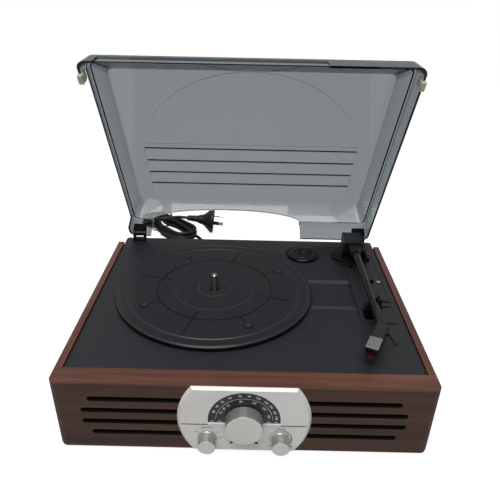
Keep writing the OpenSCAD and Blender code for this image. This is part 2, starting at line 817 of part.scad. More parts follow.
module arm_housing() {
    color("#4a4a4c") at_pivot() difference() {
        union() {
            translate([0, 0, box_low])
                round_plate(-box_x, box_front, box_x, box_back, box_high - box_low, 1.2);
            hull() {
                translate([-8, box_front - 0.1, -3.5]) cube([16, 1, 9]);
                translate([0, -33, 0.4]) rod_y(tube_r + 1.1, 0.1);
            }
        }
        translate([box_wall - box_x, box_front + box_wall, box_low - 1])
            cube([2 * (box_x - box_wall), box_back - box_front - 2 * box_wall, box_high - box_low - 0.8]);
        translate([0, -34, 0]) rod_y(tube_r, 34 + tube_start);
        rod_x(pin_r + fit, 3 * box_x);
    }
}

module counterweight() {
    color(steel) at_pivot() translate([-9, box_back - box_wall - 7, -1]) cube([18, 7, 7]);
}

module arm_tube() {
    color("#3c3d3b") at_pivot() rotate([90, 0, 0]) union() {
        translate([0, 0, -tube_start]) cylinder(r = tube_r, h = 14);
        translate([0, 0, 14 - tube_start])
            cylinder(r1 = tube_r, r2 = tube_tip_r, h = tube_start - tube_end - 14);
    }
}

module arm_elbow() {
    color("#4c4d49") hull() {
        at_pivot() translate([0, tube_end - 0.1, 0]) rod_y(tube_tip_r + 0.5, 0.1, $fn = 32);
        at_head() translate([-5, 0, -3]) cube([10, 0.1, 5.8]);
        at_pivot() translate([-3.8, tube_end - 12, -3]) cube([7.6, 0.1, 6]);
    }
}

module headshell() {
    color("#454649") at_head() difference() {
        translate([-head_w / 2, -head_l, -4.6]) cube([head_w, head_l, 7.8]);
        translate([1.4 - head_w / 2, -head_l - 1, -5.6]) cube([head_w - 2.8, head_l - 0.6, 7.4]);
        for (x = [-1, 1]) translate([x * head_w / 2, -head_l / 2, 3.2]) rotate([0, 45, 0])
            cube([1.2, head_l + 1, 1.2], center = true);
    }
}

module cartridge() {
    color("#a9abac") at_head() translate([0, -head_l - cartridge_l, 0]) difference() {
        union() {
            translate([-head_w / 2, 0, 0.2]) cube([head_w, cartridge_l, 3]);
            translate([-5.2, 1.5, -5]) cube([10.4, cartridge_l - 1.5, 5.4]);
            translate([-4, cartridge_l - 1, -3.6]) cube([8, 6, 4.4]);
        }
        translate([-6, -1, -1.6]) cube([12, 3.4, 1.4]);
    }
}

module stylus_holder() {
    tip = cartridge_l + head_l - 0.3;
    color("#8a2b25") at_head() union() {
        translate([0, 0, -7.2]) linear_extrude(2.2) polygon([[-5.6, -head_l - 4], [5.6, -head_l - 4],
            [5.6, -tip], [1.8, -tip - 3.4], [-1.8, -tip - 3.4], [-5.6, -tip]]);
        translate([-0.9, -tip + 1, -8.4]) cube([1.8, 7, 1.4]);
        translate([0, -tip, -9.7]) cylinder(r1 = 0.15, r2 = 0.45, h = 2.6);
    }
}

module finger_lift() {
    color(black) at_head() union() {
        translate([head_w / 2, -13, -1]) cube([2, 6, 3]);
        translate([head_w / 2 + 1.2, -9, 0.4]) rotate([0, 0, 35]) {
            rotate([86, 0, 0]) cylinder(r = 1.1, h = 17);
            translate([-1.7, -20.5, 0.8]) cube([3.4, 5, 1.1]);
        }
    }
}

// Rest for the arm: a post in the deck's pocket with a shelf, a stop lip and two ears for the clip
module arm_rest() {
    shelf = -gap - tube_r - (tube_tip_r - tube_r) * (tube_start - 14 - rest_y) / (tube_start - 14 - tube_end);
    low = deck_under - 2.5 - arm_z;
    color(black) at_pivot() translate([0, rest_y, 0]) difference() {
        union() {
            translate([-6, -4, low]) cube([12, 8, shelf - low - 4]);
            translate([-7.5, -4, shelf - 4]) cube([16.5, 8, 4]);
            translate([rest_lip, -4, shelf - 1]) cube([5, 8, 1.2 - shelf]);
            for (y = [-4, 2.4]) translate([rest_lip, y, 0]) cube([5, 1.6, clip_z]);
            for (y = [-4, 2.4]) translate([clip_x, y, clip_z]) rod_y(1.8, 1.6);
        }
        translate([rest_lip - 1, -2.4, clip_z - 3.8]) cube([8, 4.8, 8]);
        translate([clip_x, -5, clip_z]) rod_y(1 + fit, 10);
    }
}

module arm_clip() {
    color(black) at_pivot() translate([clip_x, rest_y, clip_z]) union() {
        translate([0, -2.2, 0]) rod_y(1.5, 4.4);
        translate([0, -4, 0]) rod_y(1, 8);
        translate([-1.3, -2.1, -3.2]) cube([2.6, 4.2, 3.2]);
        translate([-1.3, -2.1, -3.2]) cube([clip_l + 1.3, 4.2, 1.6]);
    }
}

module cue_lever() {
    rib_n = 9;
    color(black) at_pivot() translate([cue_x, cue_y, deck_z - arm_z + cue_z]) union() {
        rod_x(2.9, 4);
        rod_x(1, 8.4);
        translate([-1.6, -8, -1.6]) cube([3.2, 8, 3.2]);
        translate([0, -26, 0]) rod_y(2.8, 20);
        for (i = [0:rib_n - 1]) translate([0, -26 + i * 2.1, 0]) rod_y(3.4, 1.1);
    }
}

// Where the lift bar's post passes through the deck
module cue_post_at() {
    translate([pivot_x - cue_bar_r * sin(9), pivot_y - cue_bar_r * cos(9), 0]) children();
}

module cue_lift_bar() {
    color(black) home() union() {
        cue_post_at() translate([0, 0, deck_under - 6]) cylinder(r = 2, h = cue_bar_top - deck_under + 3.5);
        translate([pivot_x, pivot_y, cue_bar_top - 3]) rotate([0, 0, -139])
            rotate_extrude(angle = 53) translate([cue_bar_r - 1.2, 0]) square([2.4, 3]);
        cue_post_at() translate([0, 0, deck_under - 6]) cylinder(r = 3.4, h = 1);
    }
}

// Knob of a slide switch: cap above the arm strip, stem through the slot, plate under the deck
module slide_knob(cap_x, cap_y, cap_h) {
    translate([-cap_x / 2, -cap_y / 2, strip_z + gap]) cube([cap_x, cap_y, cap_h]);
    translate([-1.2, -1.2, deck_under - gap - 1]) cube([2.4, 2.4, strip_z + 2 * gap + 1 - deck_under]);
    translate([-3, -3, deck_under - gap - 1]) cube([6, 6, 1]);
}

module speed_knob() {
    color(black) home() translate([speed_x, speed_y, 0]) slide_knob(4.6, 5, 2.6);
}

module auto_stop_knob() {
    color(black) home() translate([stop_x, stop_y, 0]) slide_knob(2.8, 9, 2.6);
}

// ---- Lid ----

// Places its children in the closed lid's own axes and opens it: -Y is forward, Z is up
module on_lid() {
    home() translate([0, hinge_y, hinge_z]) rotate([-lid_open, 0, 0]) children();
}

// Thin slab with round corners between u0 and u1 at height w
module slab(x, u0, u1, w, r) {
    translate([0, 0, w]) linear_extrude(0.02) offset(r, $fn = 32) offset(-r)
        translate([-x, -u1]) square([2 * x, u1 - u0]);
}

// Body of the lid grown by t on every side: skirt below, sloping tray above
module lid_body(t) {
    hull() {
        slab(lid_x + t - lid_t, lid_back + lid_t - t, lid_front + t - lid_t,
            skirt_low - (t > 0 ? 0 : 0.2), 9);
        slab(lid_x - 1 + t - lid_t, lid_back + lid_t - t, fold_front + t - lid_t, shoulder_h + t - 0.02, 9);
    }
    hull() {
        slab(rim_x + t, rim_back - t, rim_front + t, shoulder_h - 0.1, 7);
        slab(top_x + t, top_back - t, plate_front + t, lid_h + t - 0.02, 7);
    }
}

// Faint raised dome and the four louvre steps of the top plate, starting at height w
module lid_pattern(w) {
    translate([0, 0, w]) linear_extrude(emboss) difference() {
        translate([0, -dome_u]) circle(dome_r);
        translate([-200, -dome_cut]) square([400, 400]);
    }
    for (i = [0:step_n - 1]) translate([top_x - 20, -step_first + i * step_pitch, w])
        rotate([90, 0, -90]) linear_extrude(2 * top_x - 40)
            polygon([[0, 0], [0, step_h], [-step_pitch + 0.6, 0]]);
}

module lid() {
    color(smoke) on_lid() difference() {
        union() {
            lid_body(lid_t);
            lid_pattern(lid_h + lid_t - 0.01);
        }
        lid_body(0);
        lid_pattern(lid_h - 0.01);
        lid_cuts();
    }
}

// Openings in the skirt where a record reaches over the cabinet, the back's arch and the hinges
module lid_cuts() {
    low = skirt_low - 5;
    translate([spindle_x - 109, -lid_front - 5, low]) cube([218, 30, notch_w - low]);
    translate([-lid_x - 5, 19 - lid_front, low]) cube([20, lid_front - 36, notch_w - low]);
    translate([arch_x - arch_half, -5, low]) cube([2 * arch_half, 10, shoulder_h - low + 0.1]);
    translate([arch_x, 5, shoulder_h]) rotate([90, 0, 0]) linear_extrude(25)
        polygon([for (a = [0:7.5:180]) [arch_half * cos(a), arch_h * sin(a)]]);
    for (side = [-1, 1]) translate([side * hinge_x - hinge_w / 2 - 0.4, -5, low])
        cube([hinge_w + 0.8, 10, cheek_r + 0.4 - low]);
}

module lid_bumpers() {
    color("#d9d6c8") on_lid() for (side = [-1, 1])
        translate([side * (lid_x - 1.4), 19 - lid_front, skirt_low]) {
            translate([-2.4, -bumper_l / 2, -3.7]) cube([4.8, bumper_l, 3.7]);
            translate([side > 0 ? -3.4 : 1.4, -bumper_l / 2, -0.2]) cube([2, bumper_l, 7]);
        }
}

// Places its children at the middle of each hinge, on the hinge axis
module at_hinges() {
    for (side = [-1, 1]) translate([side * hinge_x, 0, 0]) children();
}

module hinge_brackets() {
    low = deck_z - hinge_z;
    color(black) home() translate([0, hinge_y, hinge_z]) at_hinges() difference() {
        union() {
            translate([-hinge_w / 2, -10, low]) cube([hinge_w, 11, 2]);
            for (x = [-hinge_w / 2, hinge_w / 2 - cheek_t]) {
                translate([x, -cheek_r, low]) cube([cheek_t, 2 * cheek_r - 3, -low]);
                translate([x + cheek_t / 2, 0, 0]) rod_x(cheek_r, cheek_t);
            }
        }
        rod_x(pin_r, hinge_w + 1);
    }
}

module hinge_pins() {
    color(steel) home() translate([0, hinge_y, hinge_z]) at_hinges() rod_x(pin_r, hinge_w);
}

module hinge_leaves() {
    inner = hinge_w / 2 - cheek_t - gap;
    wall_in = lid_back + lid_t;
    color(black) on_lid() at_hinges() difference() {
        union() {
            rod_x(knuckle_r, 2 * inner);
            translate([-inner, -5.2, 0]) cube([2 * inner, 5.2, 6]);
            translate([-hinge_w / 2, -5.2, cheek_r + 0.4]) cube([hinge_w, 5.2, leaf_h]);
        }
        rod_x(pin_r + fit, hinge_w);
        translate([-hinge_w, -wall_in, knuckle_r]) cube([2 * hinge_w, 8, 20]);
    }
}

// ---- Mains lead ----

function unit(v) = v / norm(v);

// Ring of a swept tube round the point p, square to the direction t, with a flat at its foot
function ring(p, t, r, sides) = let (side = unit(cross(t, [0, 0, 1])), up = cross(side, t))
    [for (k = [0:sides - 1]) let (a = 360 * (k + (sides % 4 == 0 ? 0.5 : 0)) / sides)
        p + r * (cos(a) * side + sin(a) * up)];

// Direction of a path at its point i
function heading(path, i) = unit(path[min(i + 1, len(path) - 1)] - path[max(i - 1, 0)]);

// One unbroken tube swept along a path
module swept_tube(path, r, sides) {
    n = len(path);
    rings = [for (i = [0:n - 1]) each ring(path[i], heading(path, i), r, sides)];
    walls = [for (i = [0:n - 2]) for (k = [0:sides - 1])
        let (a = i * sides + k, b = i * sides + (k + 1) % sides)
            each [[a, b, b + sides], [a, b + sides, a + sides]]];
    last = (n - 1) * sides;
    caps = [for (k = [1:sides - 2]) each [[0, k + 1, k], [last, last + k, last + k + 1]]];
    polyhedron(rings, concat(walls, caps));
}

// Way of run i along the hank, and its distance from the hank's middle line
function run_way(i) = i % 2 == 0 ? 1 : -1;
function run_off(i) = turn_r_min + hank_step / 2 * abs(i % (2 * layer_runs) - layer_runs);

// Layer of the hank along run i, at the share f of its length: it climbs where the spiral turns back
function run_layer(i, f) = let (full = floor(i / layer_runs))
    i % layer_runs > 0 ? full : i == run_last ? full - 1 + f / last_share : full - 1 + f;

// How much the hank is drawn in at the place x along its runs, from 0 to 1
function waist(x) = abs(x - waist_at) < waist_l ? (1 + cos(180 * (x - waist_at) / waist_l)) / 2 : 0;

// Point of the hank in its own axes
function hank_point(x, y, layer) = [x, y - sign(y) * waist_in * waist(x),
    cord_z + waist_lift * waist(x) + layer * layer_h];

// Run i of the hank up to the share f of its length
function hank_run(i, f, steps) = let (way = run_way(i))
    [for (k = [0:steps]) let (at = f * k / steps)
        hank_point(way * run_l * (at - 0.5), -way * run_off(i), run_layer(i, at))];

// Half turn from run i to run i + 1
function hank_bend(i) = let (way = run_way(i), mid = way * (run_off(i + 1) - run_off(i)) / 2,
    r = (run_off(i) + run_off(i + 1)) / 2, layer = run_layer(i, 1))
    [for (a = [30:30:150]) hank_point(way * (run_l / 2 + r * sin(a)), mid - way * r * cos(a), layer)];

// Turns a hank point to where the hank lies behind the cabinet
function hank_place(p) = [hank_at[0] + p[0] * cos(hank_turn) - p[1] * sin(hank_turn),
    hank_at[1] + p[0] * sin(hank_turn) + p[1] * cos(hank_turn), p[2]];

HANK_LOOPS = [for (i = [1:run_last - 1]) each concat(hank_run(i, 1, 6), hank_bend(i))];
HANK_PATH = [for (p = concat(HANK_LOOPS, hank_run(run_last, last_share, 3))) hank_place(p)];
hank_n = len(HANK_PATH);
hank_in = unit(HANK_PATH[1] - HANK_PATH[0]);
hank_out = unit(HANK_PATH[hank_n - 1] - HANK_PATH[hank_n - 2]);

// Least gap between stretches of a path that lie at least so many points apart
function least_gap(path, apart, r) = min([for (i = [0:len(path) - 1]) for (j = [i + apart:1:len(path) - 1])
    norm(path[i] - path[j])]) - 2 * r;

// Tapered rubber sleeve, held in the back cover by a groove
module strain_relief() {
    rib_n = 6;
    color(black) home() translate([exit_x, rear_y, exit_z]) difference() {
        union() {
            turned_y([[0, -5.4], [7, -5.4], [7, -cover_t], [5.2, -cover_t], [5.2, 0], [7, 0], [7, 2.2],
                [4.4, 3], [cord_r + 0.5, relief_l], [0, relief_l]]);
            for (i = [0:rib_n - 1]) translate([0, 4.6 + i * 3, 0]) rod_y(4.9 - i * 0.24, 1.6);
        }
    }
}

module mains_cord() {
    color(black) home() swept_tube(concat(CORD_ROUTE, [HANK_PATH[0] - 2 * cord_r * hank_in, HANK_PATH[0]]),
        cord_r, cord_sides);
}

module cord_hank() {
    echo(hank_least_gap = least_gap(HANK_PATH, 6, cord_r));
    color(black) home() swept_tube(HANK_PATH, cord_r, 6);
}

// Rubber band round the hank's waist
module cord_tie() {
    band_w = 5;
    band_t = 1.2;
    half = turn_r_min + hank_step * 1.5 + cord_r - waist_in + 1;
    low = cord_z + waist_lift - cord_r - 0.1;
    top = cord_z + waist_lift + 3 * layer_h + cord_r + 0.5;
    inner = [[-half, low], [half, low], [half, top], [-half / 2, top + layer_h],
        [-half, top + layer_h]];
    color("#b8935a") home() translate([hank_at[0], hank_at[1], 0]) rotate([0, 0, hank_turn])
        translate([waist_at - band_w / 2, 0, 0]) rotate([90, 0, 90]) linear_extrude(band_w) difference() {
            offset(band_t, $fn = 24) polygon(inner);
            polygon(inner);
        }
}

module plug_lead() {
    end = HANK_PATH[hank_n - 1];
    color(black) home() swept_tube(concat([end, end + cord_r * hank_out], PLUG_ROUTE), cord_r, cord_sides);
}

// Plug with a ribbed neck that flares to its face, and two flat pins set at an angle
module mains_plug() {
    color(black) home() translate(plug_at) rotate([0, plug_tilt, 0]) {
        rotate([0, 90, 0]) rotate_extrude() polygon([[0, 0], [4, 0], [5.6, 18], [7.4, 21], [8.2, 26],
            [11, 31], [16, 36.5], [19.5, 40], [plug_r - 0.5, 42], [plug_r, 43], [plug_r, 45],
            [plug_r - 1, 46.5], [0, 46.5]]);
        for (i = [0:4]) translate([1.5 + i * 3.3, 0, 0])
            rotate([0, 90, 0]) cylinder(r = 5.3 + i * 0.2, h = 1.7);
        for (a = [30, 150]) rotate([a + plug_roll, 0, 0])
            translate([46, 7.1, -3.2]) cube([17.5, 1.6, 6.4]);
    }
}

front_panel();
side_wall_left();
side_wall_right();
bottom_panel();
back_cover();
feet();
corner_blocks();
case_screws();
grille_cloth();
speaker_frames();
speaker_cones();
speaker_magnets();
radio_plate();
dial_scale();
indicator_lights();
tuner_board();
tuning_capacitor();
volume_control();
band_switch();
tuning_knob();
volume_knob();
band_knob();
main_board();
transformer();
deck();
spindle();
spindle_clip();
platter();
drive_belt();
motor();
motor_pulley();
record_adapter();
arm_base();
arm_turret();
arm_pivot_pin();
arm_housing();
counterweight();
arm_tube();
arm_elbow();
headshell();
cartridge();
stylus_holder();
finger_lift();
arm_rest();
arm_clip();
cue_lever();
cue_lift_bar();
speed_knob();
auto_stop_knob();
lid();
lid_bumpers();
hinge_brackets();
hinge_pins();
hinge_leaves();
strain_relief();
mains_cord();
cord_hank();
cord_tie();
plug_lead();
mains_plug();
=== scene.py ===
"""Visual model of a stereo music centre: a record player on a wooden cabinet with a radio in its front.

Lengths in the dataclasses are millimetres, with Y counted from the front panel's face as on the drawing.
place() turns such a point into the part's frame in metres.
"""
import logging
import math
from dataclasses import dataclass, field
from enum import Enum
from typing import Sequence

import bmesh
import bpy
from mathutils import Matrix, Vector


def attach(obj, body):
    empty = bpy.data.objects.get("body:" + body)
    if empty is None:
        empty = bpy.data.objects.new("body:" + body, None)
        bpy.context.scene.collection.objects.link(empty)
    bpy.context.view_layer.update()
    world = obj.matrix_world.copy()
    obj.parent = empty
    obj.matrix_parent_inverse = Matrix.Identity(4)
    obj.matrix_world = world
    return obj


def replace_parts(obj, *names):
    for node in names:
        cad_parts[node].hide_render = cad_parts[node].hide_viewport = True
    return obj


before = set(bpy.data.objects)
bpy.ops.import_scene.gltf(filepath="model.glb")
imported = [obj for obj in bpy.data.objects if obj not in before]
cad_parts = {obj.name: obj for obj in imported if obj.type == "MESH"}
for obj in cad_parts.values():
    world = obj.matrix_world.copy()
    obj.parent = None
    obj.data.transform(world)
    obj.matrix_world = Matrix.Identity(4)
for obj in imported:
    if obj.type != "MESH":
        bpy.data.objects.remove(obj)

Tree = bpy.types.NodeTree
Node = bpy.types.Node
Socket = bpy.types.NodeSocket
Colour = tuple[float, float, float, float]
Point = tuple[float, float, float]
Pair = tuple[float, float]
Label = tuple[float, str]

LOG = logging.getLogger("music_centre")
MM = 0.001
FRONT_TO_MIDDLE = 156.1282  # from the front panel's face back to the frame's zero
SPINDLE_AT: Pair = (-37.7, 160.6)
RIGHT, BACK, UP = Vector((1, 0, 0)), Vector((0, 1, 0)), Vector((0, 0, 1))
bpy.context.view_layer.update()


class Body(Enum):
    """Bodies of the part that the pieces made here ride on."""

    CABINET = "cabinet"
    TONEARM = "tonearm"


class Grain(Enum):
    """Way the wood grain runs along a board."""

    ACROSS = "x"
    DEEP = "y"


def place(x: float, y: float, z: float) -> Vector:
    """Turns a drawing point into the part's frame.

    Args:
        x: Millimetres to the right of the middle.
        y: Millimetres behind the front panel's face.
        z: Millimetres above the table.

    Returns:
        The point in metres.
    """
    return Vector((x, y - FRONT_TO_MIDDLE, z)) * MM


def linear(hex_colour: str) -> Colour:
    """Turns an sRGB hex colour into the linear colour that a shader takes.

    Args:
        hex_colour: Colour as "#rrggbb".

    Returns:
        Red, green, blue and alpha.
    """
    parts = [int(hex_colour[i:i + 2], 16) / 255 for i in (1, 3, 5)]
    red, green, blue = (p / 12.92 if p <= 0.04045 else ((p + 0.055) / 1.055) ** 2.4 for p in parts)
    return red, green, blue, 1.0


def add_node(tree: Tree, kind: str, inputs: dict | None = None, **settings) -> Node:
    """Adds a shader node with its settings, values and links.

    Args:
        tree: Node tree that takes the node.
        kind: Blender's name of the node type.
        inputs: Value or output socket for each named or numbered input.
        **settings: Properties of the node itself.

    Returns:
        The new node.
    """
    node = tree.nodes.new(kind)
    for key, value in settings.items():
        setattr(node, key, value)
    for key, value in (inputs or {}).items():
        if isinstance(value, bpy.types.NodeSocket):
            tree.links.new(value, node.inputs[key])
        else:
            node.inputs[key].default_value = value
    return node


# ---- Finishes ----


@dataclass(frozen=True)
class Surface:
    """What a finish works on: the material's nodes and the place on the piece in metres."""

    tree: Tree
    shader: Node
    output: Node
    where: Socket


@dataclass(frozen=True)
class Finish:
    """Material of a surface. A subclass adds the pattern that the real material shows."""

    name: str
    colour: str
    roughness: float = 0.5
    metallic: float = 0.0
    ior: float = 1.5
    coat: float = 0.0
    coat_roughness: float = 0.25
    specular: float = 0.5
    mottle: float = 0.05  # how far the tone drifts
    mottle_mm: float = 30.0  # how wide a patch of one tone is
    gloss_drift: float = 0.12
    noise_span: Pair = (0.3, 0.7)  # the values that a noise really takes
    relief_strength: float = 0.8

    def material(self) -> bpy.types.Material:
        """Makes the material on first use.

        Returns:
            The material.
        """
        known = bpy.data.materials.get(self.name)
        if known:
            return known
        made = bpy.data.materials.new(self.name)
        made.use_nodes = True
        tree = made.node_tree
        tree.nodes.clear()
        shader = add_node(tree, "ShaderNodeBsdfPrincipled", {
            "Base Color": linear(self.colour), "Roughness": self.roughness, "Metallic": self.metallic,
            "IOR": self.ior, "Coat Weight": self.coat, "Coat Roughness": self.coat_roughness,
            "Specular IOR Level": self.specular})
        output = add_node(tree, "ShaderNodeOutputMaterial", {"Surface": shader.outputs[0]})
        where = add_node(tree, "ShaderNodeTexCoord").outputs["Object"]
        self.dress(Surface(tree, shader, output, where))
        return made

    def dress(self, on: Surface) -> None:
        """Gives the surface a slow drift of tone and gloss, as handling and moulding leave it."""
        self.drift(on, self.tone(on))

    def tone(self, on: Surface) -> Colour | Socket:
        """Returns the surface's colour, or the socket that gives it."""
        return linear(self.colour)

    def drift(self, on: Surface, colour: Colour | Socket) -> None:
        """Varies a colour's value and the roughness slowly over the surface.

        Args:
            on: Surface that takes the result.
            colour: Colour, or the socket that gives it.
        """
        low, high = self.noise_span
        clouds = add_node(on.tree, "ShaderNodeTexNoise", {
            "Vector": on.where, "Scale": 1 / (self.mottle_mm * MM), "Detail": 4.0})
        value = add_node(on.tree, "ShaderNodeMapRange", {
            "Value": clouds.outputs["Fac"], "From Min": low, "From Max": high,
            "To Min": 1 - self.mottle, "To Max": 1 + self.mottle})
        toned = add_node(on.tree, "ShaderNodeHueSaturation", {"Color": colour, "Value": value.outputs[0]})
        gloss = add_node(on.tree, "ShaderNodeMapRange", {
            "Value": clouds.outputs["Fac"], "From Min": low, "From Max": high,
            "To Min": self.roughness * (1 - self.gloss_drift),
            "To Max": min(1.0, self.roughness * (1 + self.gloss_drift))})
        on.tree.links.new(toned.outputs[0], on.shader.inputs["Base Color"])
        on.tree.links.new(gloss.outputs[0], on.shader.inputs["Roughness"])

    def relief(self, on: Surface, height: Socket, depth_mm: float) -> None:
        """Gives the surface a fine relief from a height pattern.

        Args:
            on: Surface that takes the relief.
            height: Pattern from 0 to 1.
            depth_mm: Depth of the pattern.
        """
        bump = add_node(on.tree, "ShaderNodeBump", {
            "Height": height, "Distance": depth_mm * MM, "Strength": self.relief_strength})
        on.tree.links.new(bump.outputs[0], on.shader.inputs["Normal"])


@dataclass(frozen=True)
class MouldedPlastic(Finish):
    """Injection-moulded ABS. The spark-eroded mould leaves an even fine grain that breaks up reflections."""

    grain_mm: float = 1.1  # the real grain is about 0.2 mm, drawn coarser so that it shows
    depth_mm: float = 0.03

    def dress(self, on: Surface) -> None:
        """Adds the mould's grain.

        Args:
            on: Surface to dress.
        """
        super().dress(on)
        grain = add_node(on.tree, "ShaderNodeTexNoise", {
            "Vector": on.where, "Scale": 1 / (self.grain_mm * MM), "Detail": 2.0})
        self.relief(on, grain.outputs["Fac"], self.depth_mm)


@dataclass(frozen=True)
class SlopeSheenPlastic(MouldedPlastic):
    """Moulded ABS with a painted sheen: its slopes and soft edges are painted paler than its flat faces."""

    # painted sheen: the paler colour that the slopes get
    painted_sheen: str = "#3d3e43"
    slope: tuple[float, float, float, float] = (0.80, 0.93, 0.985, 0.998)

    def tone(self, on: Surface) -> Socket:
        """Makes the colour with a painted sheen, paler where the surface slopes between the limits.

        Args:
            on: Surface that takes the colour.

        Returns:
            The socket that gives it.
        """
        facing = add_node(on.tree, "ShaderNodeSeparateXYZ", {
            0: add_node(on.tree, "ShaderNodeNewGeometry").outputs["True Normal"]})
        up = facing.outputs["Z"]
        steep, low, high, flat = self.slope
        over = add_node(on.tree, "ShaderNodeMapRange", {"Value": up, "From Min": steep, "From Max": low})
        under = add_node(on.tree, "ShaderNodeMapRange", {
            "Value": up, "From Min": high, "From Max": flat, "To Min": 1.0, "To Max": 0.0})
        share = add_node(on.tree, "ShaderNodeMath", {0: over.outputs[0], 1: under.outputs[0]},
                         operation="MULTIPLY")
        return add_node(on.tree, "ShaderNodeMix", {
            "Factor": share.outputs[0], "A": linear(self.colour), "B": linear(self.painted_sheen)},
            data_type="RGBA").outputs["Result"]


@dataclass(frozen=True)
class GrooveShadePlastic(SlopeSheenPlastic):
    """Moulded ABS turntable with painted shade: its cuts and the side of its rim are painted near black and
    read as dark lines.
    """

    # painted shade: near black on what lies below floor_mm outside from_mm, in the cuts and on the rim's side
    cut: str = "#050506"
    floor_mm: float = 85.1
    from_mm: float = 44.5
    floor_blend_mm: float = 0.08
    ring_blend_mm: float = 0.2

    def tone(self, on: Surface) -> Socket:
        """Makes the colour with painted shade, black below the floor height outside the middle.

        Args:
            on: Surface that takes the colour.

        Returns:
            The socket that gives it.
        """
        height = add_node(on.tree, "ShaderNodeSeparateXYZ", {0: on.where})
        deep = add_node(on.tree, "ShaderNodeMapRange", {
            "Value": height.outputs["Z"], "From Min": self.floor_mm * MM,
            "From Max": (self.floor_mm + self.floor_blend_mm) * MM, "To Min": 1.0, "To Max": 0.0})
        level = add_node(on.tree, "ShaderNodeMapping", {
            "Vector": on.where, "Location": -place(*SPINDLE_AT, 0), "Scale": (1, 1, 0)})
        radius = add_node(on.tree, "ShaderNodeVectorMath", {0: level.outputs[0]}, operation="LENGTH")
        outer = add_node(on.tree, "ShaderNodeMapRange", {
            "Value": radius.outputs["Value"], "From Min": self.from_mm * MM,
            "From Max": (self.from_mm + self.ring_blend_mm) * MM})
        share = add_node(on.tree, "ShaderNodeMath", {0: deep.outputs[0], 1: outer.outputs[0]},
                         operation="MULTIPLY")
        return add_node(on.tree, "ShaderNodeMix", {
            "Factor": share.outputs[0], "A": super().tone(on), "B": linear(self.cut)},
            data_type="RGBA").outputs["Result"]


@dataclass(frozen=True)
class LinedPlastic(Finish):
    """Moulded ABS with fine raised lines across it, which give a soft, striped sheen."""

    pitch_mm: float = 3.2  # the real lines are about 1.5 mm apart, drawn coarser so that they show
    depth_mm: float = 0.25

    def dress(self, on: Surface) -> None:
        """Adds the raised lines, one behind the other along Y.

        Args:
            on: Surface to dress.
        """
        super().dress(on)
        lines = add_node(on.tree, "ShaderNodeTexWave", {
            "Vector": on.where, "Scale": math.pi / (10 * self.pitch_mm * MM), "Distortion": 0.0},
            wave_type="BANDS", bands_direction="Y")
        self.relief(on, lines.outputs["Fac"], self.depth_mm)


